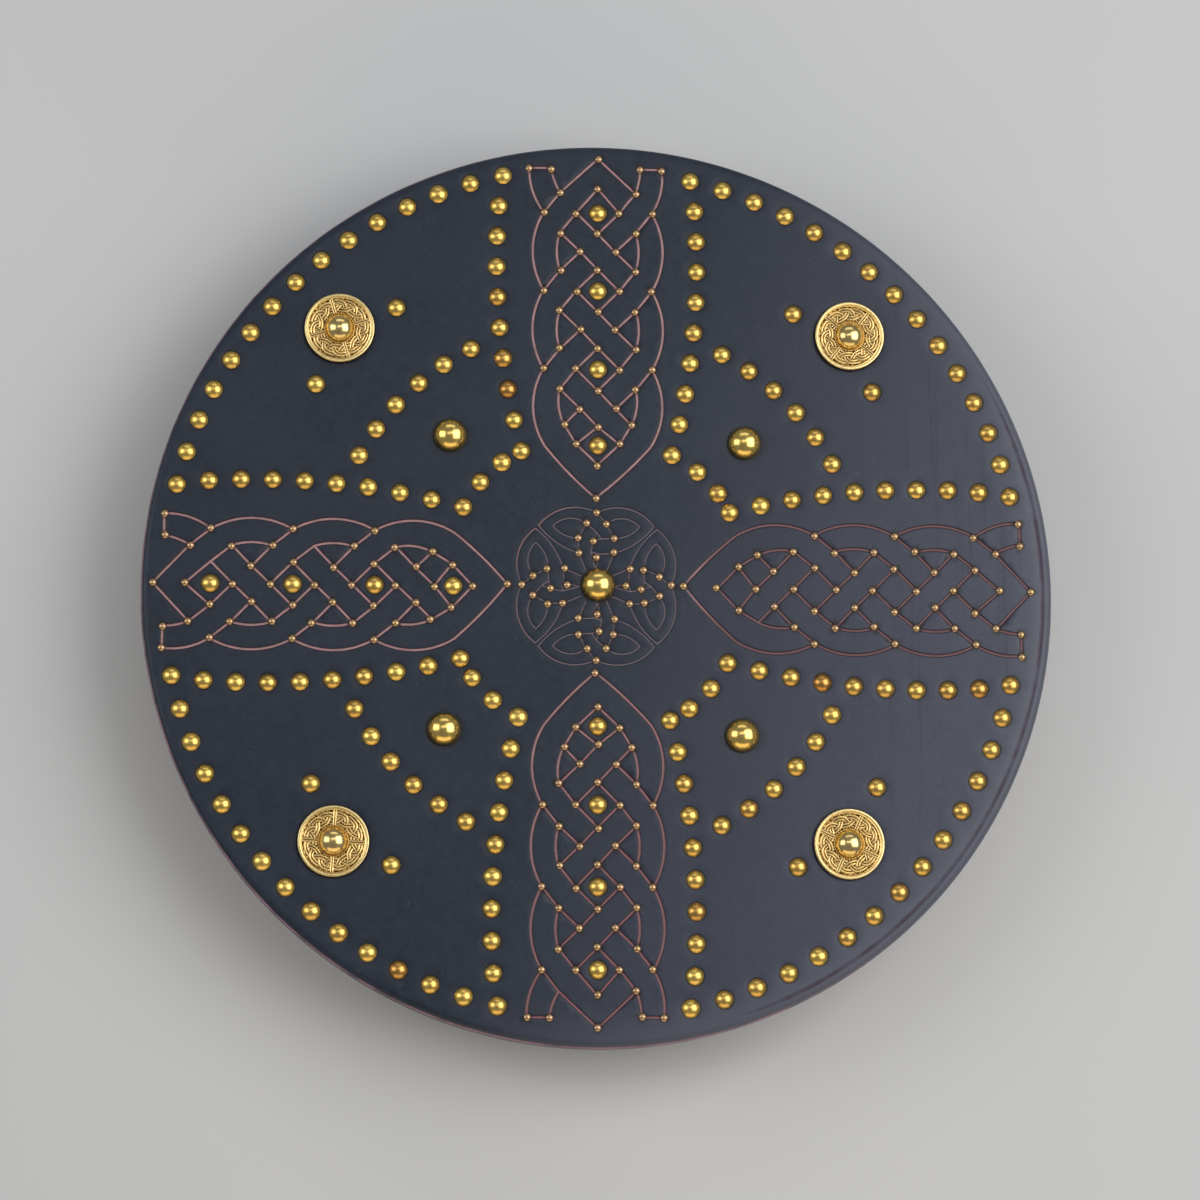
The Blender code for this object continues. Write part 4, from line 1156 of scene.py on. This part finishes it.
def roundel_height(turn, share):
    """Height and relief (0 to 1) of the cast disc at a share of its radius."""
    if BAND_FROM <= share < BAND_TO:
        plait = plait_height(turn, (share - BAND_FROM) / (BAND_TO - BAND_FROM))
        return ROUNDEL_FIELD + BAND_RISE * plait, min(1.0, 0.05 + 0.95 * plait)
    turned = OUTER_RING
    if share < SECOND_RING_TO:
        turned = COLLAR if share < BAND_FROM else SECOND_RING
    middle, half_width, roundness, rise, dark, light = turned
    ring = math.sqrt(max(0.0, 1.0 - ((share - middle) / half_width) ** roundness))
    return ROUNDEL_FIELD + rise * ring, min(1.0, dark + light * ring)


def make_roundel(node, turned_by, brass):
    """A cast disc with a rounded rim, a thin second ring, a plaited band and a collar for its stud."""
    low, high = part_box(node)
    radius = (high.x - low.x) / 2
    middle = middle_of(node)
    shell = Shell()
    hole = STUD_HOLE_RADIUS / radius
    rings = []
    for row in range(ROUNDEL_RINGS + 1):
        share = hole + (1.0 - hole) * row / ROUNDEL_RINGS
        points = []
        relief = []
        for i in range(ROUNDEL_SIDES):
            turn = 2 * math.pi * i / ROUNDEL_SIDES
            height, value = roundel_height(turn + turned_by, share)
            height = min(height, high.z - low.z)
            place = polar(radius * share, turn)
            points.append((middle.x + place.x, middle.y + place.y, low.z + height))
            relief.append(value)
        rings.append(shell.add_ring(points, relief=relief))
    for edge, value in ((rings[-1], 0.2), (rings[0], 0.0)):
        rings.append(shell.add_ring([(*shell.points[i][:2], low.z - GAP) for i in edge], relief=value))
    shell.bridge_all(rings + rings[:1])
    shell.piece(f"{node}_casting", brass, [node], 60.0)


# The back


def bow_height(along, thickness):
    """Height of a bow's middle line at a distance from its middle."""
    high = LINING_LOW - GAP - thickness / 2
    low = thickness / 2 + STITCH_RISE
    share = (abs(along) - BOW_FLAT_LENGTH / 2) / BOW_RAMP_LENGTH
    return low + (high - low) * float(smooth(share))


def bow_frame(along, thickness):
    """Middle point, up direction and way of a bow, in the plane along and up."""
    here = Vector((along, bow_height(along, thickness)))
    ahead = Vector((along + 0.0005, bow_height(along + 0.0005, thickness)))
    behind = Vector((along - 0.0005, bow_height(along - 0.0005, thickness)))
    way = (ahead - behind).normalized()
    return here, Vector((-way.y, way.x)), way


def standing(x, flat):
    """A place or direction in a bow's plane, at an x."""
    return Vector((x, flat.x, flat.y))


def rounded_section(half_width, half_height, corner, steps=4):
    """Corners of a rounded strap section, counter-clockwise, as (across, up)."""
    points = []
    for sign_x, sign_y, start in ((1, 1, 0.0), (-1, 1, 0.5), (-1, -1, 1.0), (1, -1, 1.5)):
        for i in range(steps + 1):
            angle = math.pi * (start + 0.5 * i / steps)
            points.append((sign_x * (half_width - corner) + corner * math.cos(angle),
                           sign_y * (half_height - corner) + corner * math.sin(angle)))
    return points


def sweep_bow(shell, x, thickness, section, steps=110):
    """Sweep a section along a bow. section(along) gives its corners as (across, up)."""
    rings = []
    for i in range(steps + 1):
        along = BOW_REACH * (2 * i / steps - 1)
        here, rise, _ = bow_frame(along, thickness)
        points = [standing(x + across, here + rise * up) for across, up in section(along)]
        rings.append(shell.add_ring(points))
    shell.faces.append(tuple(rings[0]))
    shell.bridge_all(rings)
    shell.faces.append(tuple(reversed(rings[-1])))


def stitch_frames(reach, thickness):
    """Places along a bow, a stitch apart, each with its frame."""
    count = round(2 * reach / STITCH_PITCH)
    for i in range(count + 1):
        along = reach * (2 * i / count - 1)
        yield along, *bow_frame(along, thickness)


def add_stitch(shell, middle, way, rise, length=0.0034, radius=0.00055):
    """One stitch: a low bar with rounded ends, sunk a little at both."""
    side = way.cross(rise).normalized()
    rings = []
    for i in range(5):
        share = i / 4
        width = radius * math.sin(math.pi * min(0.93, max(0.07, share))) ** 0.5
        here = middle + way * length * (share - 0.5) - rise * radius * 0.8 * (2 * share - 1) ** 2
        ring = []
        for j in range(8):
            angle = 2 * math.pi * j / 8
            ring.append(tuple(here + side * width * math.cos(angle) + rise * width * math.sin(angle)))
        rings.append(shell.add_ring(ring))
    shell.bridge_all(rings)
    shell.faces.append(tuple(rings[0]))
    shell.faces.append(tuple(reversed(rings[-1])))


def make_arm_strap(leather, thread):
    """A strap with a row of stitches along both edges, on both faces."""
    half_width = (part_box("arm_strap")[1].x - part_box("arm_strap")[0].x) / 2
    shell = Shell()
    section = rounded_section(half_width, STRAP_THICKNESS / 2, STRAP_CORNER)
    sweep_bow(shell, CARRY_X, STRAP_THICKNESS, lambda along: section)
    shell.piece("arm_strap_leather", leather, ["arm_strap"])
    stitches = Shell()
    reach = BOW_REACH - STRAP_STITCHES_FROM_END
    for _, here, rise, way in stitch_frames(reach, STRAP_THICKNESS):
        for side in (-1, 1):
            for face in (-1, 1):
                on_face = here + rise * face * (STRAP_THICKNESS / 2 - STITCH_SINK)
                middle = standing(CARRY_X + side * (half_width - STITCH_INSET), on_face)
                add_stitch(stitches, middle, standing(0.0, way), standing(0.0, rise) * face)
    stitches.piece("arm_strap_stitching", thread)


def make_hand_grip(leather, thread):
    """A strap that swells into a padded handle, with stitches along the top of the handle."""
    def swell_at(along):
        to_ramp = max(0.0, abs(along) - BOW_FLAT_LENGTH / 2)
        share = max(0.0, 1.0 - to_ramp / (0.6 * BOW_RAMP_LENGTH))
        return share ** 2 * (3 - 2 * share)

    def section(along):
        swell_here = swell_at(along)
        half = (GRIP_TAB_WIDTH + (GRIP_HANDLE_WIDTH - GRIP_TAB_WIDTH) * swell_here) / 2
        low = -GRIP_TAB_THICKNESS / 2
        high = GRIP_TAB_THICKNESS / 2 + (GRIP_HANDLE_THICKNESS - GRIP_TAB_THICKNESS) * swell_here
        middle = (low + high) / 2
        corner = STRAP_CORNER + (GRIP_HANDLE_CORNER - STRAP_CORNER) * swell_here
        return [(across, middle + up) for across, up in rounded_section(half, (high - low) / 2, corner, 6)]

    shell = Shell()
    sweep_bow(shell, -CARRY_X, GRIP_TAB_THICKNESS, section)
    shell.piece("hand_grip_leather", leather, ["hand_grip"])
    stitches = Shell()
    reach = BOW_FLAT_LENGTH / 2 + GRIP_STITCHES_PAST_FLAT
    for along, here, rise, way in stitch_frames(reach, GRIP_TAB_THICKNESS):
        top = max(up for _, up in section(along))
        on_face = here + rise * (top - STITCH_SINK)
        add_stitch(stitches, standing(-CARRY_X, on_face), standing(0.0, way), standing(0.0, rise))
    stitches.piece("hand_grip_stitching", thread)


def make_rivet(node, brass):
    """A low dome on a thin washer, its head down."""
    low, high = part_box(node)
    radius = (high.x - low.x) / 2
    profile = dome_profile(radius * 0.96, 0.0003, RIVET_HEAD, RIVET_LEVELS)
    profile += [(radius, 0.0002), (radius, -SUNK)]
    shell = Shell()
    under = Matrix.Translation((*middle_of(node), low.z + RIVET_HEAD)) @ Matrix.Rotation(math.pi, 4, "X")
    add_turned(shell, profile, RIVET_SIDES, under, tone=0.3)
    shell.piece(f"{node}_head", brass, [node])


def make_lining(leather):
    """The lining, with a soft rise and fall that stays within its solid."""
    shell = Shell()
    top = shell.add_ring([(0.0, 0.0, LINING_HIGH)])[0]
    rings = [shell.add_ring(circle(LINING_RADIUS, LINING_SIDES, LINING_HIGH))]
    for i in range(LINING_RINGS, 0, -1):
        radius = LINING_RADIUS * (i / LINING_RINGS)
        edge = float(smooth((LINING_RADIUS - radius) / 0.004))
        points = []
        for x, y, _ in circle(radius, LINING_SIDES, 0.0):
            wave = 0.5 + 0.5 * noise.noise(Vector((x / LINING_WAVE_SIZE, y / LINING_WAVE_SIZE, 9.0)))
            points.append((x, y, LINING_LOW + LINING_WAVE * wave * edge))
        rings.append(shell.add_ring(points))
    foot = shell.add_ring([(0.0, 0.0, LINING_LOW + 0.0002)])[0]
    shell.fan(rings[0], top)
    shell.bridge_all(rings)
    shell.fan(list(reversed(rings[-1])), foot)
    shell.piece("lining_hide", leather, ["lining"])


# Floor, lights and camera


def soft_light(name, place, target, width, height, radiance, colour=(1.0, 1.0, 1.0)):
    """A rectangular light of a given radiance, aimed at a target."""
    light = bpy.data.lights.new(name, "AREA")
    light.shape = "RECTANGLE"
    light.size = width
    light.size_y = height
    light.energy = radiance * math.pi * width * height
    light.color = colour
    lamp = bpy.data.objects.new(name, light)
    lamp.visible_camera = False
    lamp.location = place
    lamp.rotation_euler = (Vector(target) - Vector(place)).to_track_quat("-Z", "Y").to_euler()
    bpy.context.scene.collection.objects.link(lamp)


def make_stage():
    scene = bpy.context.scene
    finish = Finish("pale_floor", 0.85)
    finish.colour(finish.patches(0.6, 3.0, (0.3, (0.60, 0.60, 0.60)), (0.7, (0.66, 0.655, 0.645))))
    mesh = bpy.data.meshes.new("floor")
    mesh.from_pydata([(-4, -4, 0), (4, -4, 0), (4, 4, 0), (-4, 4, 0)], [], [(0, 1, 2, 3)])
    mesh.materials.append(finish.material)
    floor = bpy.data.objects.new("floor", mesh)
    scene.collection.objects.link(floor)

    world = bpy.data.worlds.new("studio")
    scene.world = world
    world.use_nodes = True
    background = world.node_tree.nodes["Background"]
    background.inputs["Color"].default_value = (0.86, 0.92, 1.0, 1.0)
    background.inputs["Strength"].default_value = 0.22

    middle = (0.0, 0.0, FACE)
    soft_light("right_light", (1.34, 0.20, 1.76), middle, 1.9, 1.7, 2.9)
    soft_light("left_light", (-1.70, 0.25, 1.40), middle, 1.1, 1.5, 2.2)
    soft_light("low_warm_light", (0.0, -2.2, 0.80), middle, 3.5, 1.2, 1.0, (1.0, 0.78, 0.52))
    soft_light("back_light", (0.0, 1.9, 1.35), middle, 1.8, 0.6, 1.1)
    soft_light("top_light", (-0.05, 0.42, 2.30), middle, 1.35, 0.42, 1.5)


def make_camera():
    camera = bpy.data.cameras.new("camera")
    camera.sensor_width = 36.0
    camera.lens = camera.sensor_width / (2 * math.tan(CAMERA_ANGLE / 2))
    shot = bpy.data.objects.new("camera", camera)
    forward = (CAMERA_TARGET - CAMERA_PLACE).normalized()
    right = forward.cross(Vector((0.0, 1.0, 0.0))).normalized()
    up = right.cross(forward)
    turn = Matrix((right, up, -forward)).transposed()
    shot.matrix_world = Matrix.Translation(CAMERA_PLACE) @ turn.to_4x4()
    bpy.context.scene.collection.objects.link(shot)
    bpy.context.scene.camera = shot
    bpy.context.scene.view_settings.view_transform = "Standard"


def make_targe():
    brass = brass_finish("polished_brass", (0.93, 0.640, 0.165), (0.74, 0.460, 0.100), 0.29)
    boss_brass = brass_finish("boss_brass", (0.94, 0.665, 0.190), (0.78, 0.500, 0.120), 0.20)
    stud_brass = brass_finish("stud_brass", (0.92, 0.680, 0.270), (0.66, 0.430, 0.130), 0.19)
    tack_copper = (0.60, 0.37, 0.23)
    tack_brass = brass_finish("tack_brass", (0.60, 0.41, 0.20), (0.34, 0.20, 0.095), 0.34, tack_copper)
    old_brass = brass_finish("old_brass", (0.55, 0.37, 0.13), (0.30, 0.18, 0.065), 0.34)
    cast_brass = cast_brass_finish()
    hide_tones = ((0.19, 0.120, 0.068), (0.26, 0.168, 0.098), (0.32, 0.215, 0.13))
    lining = leather_finish("lining_leather", hide_tones, 0.78, 0.0009, 0.0002)
    strap_tones = ((0.055, 0.026, 0.013), (0.105, 0.050, 0.025), (0.17, 0.088, 0.046))
    strap = leather_finish("strap_leather", strap_tones, 0.50, 0.0008, 0.00013)
    thread = thread_finish()

    row_nails = row_nail_places()
    tacks = knot_tack_places()
    nodes = sorted(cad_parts)
    lone_nails = [n for n in nodes if n.startswith(("flank_nail", "knot_nail"))]
    bosses = [n for n in nodes if n.startswith("boss")]
    studs = [n for n in nodes if n.startswith("roundel_stud")]
    roundels = [n for n in nodes if n.startswith("roundel") and n not in studs]
    rivets = [n for n in nodes if "rivet" in n]

    heads = [(p, NAIL_RADIUS) for p in row_nails] + [(middle_of(n), NAIL_RADIUS) for n in lone_nails]
    for node in bosses + roundels:
        low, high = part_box(node)
        heads.append((middle_of(node), round((high.x - low.x) / 2, 5)))
    make_facing(heads, tacks)
    make_row_nails(row_nails, brass)
    make_tacks(tacks, tack_brass)
    for node in lone_nails:
        make_lone_nail(node, brass)
    for node in bosses:
        make_dome(node, boss_brass)
    for node in studs:
        make_dome(node, stud_brass)
    for node, turned_by in zip(roundels, ROUNDEL_TURNS):
        make_roundel(node, turned_by, cast_brass)
    make_lining(lining)
    make_arm_strap(strap, thread)
    make_hand_grip(strap, thread)
    make_hem_tacks(old_brass)
    for node in rivets:
        make_rivet(node, old_brass)
    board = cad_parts["board"]
    board.data.materials.clear()
    board.data.materials.append(wood_finish())


make_targe()
make_stage()
make_camera()
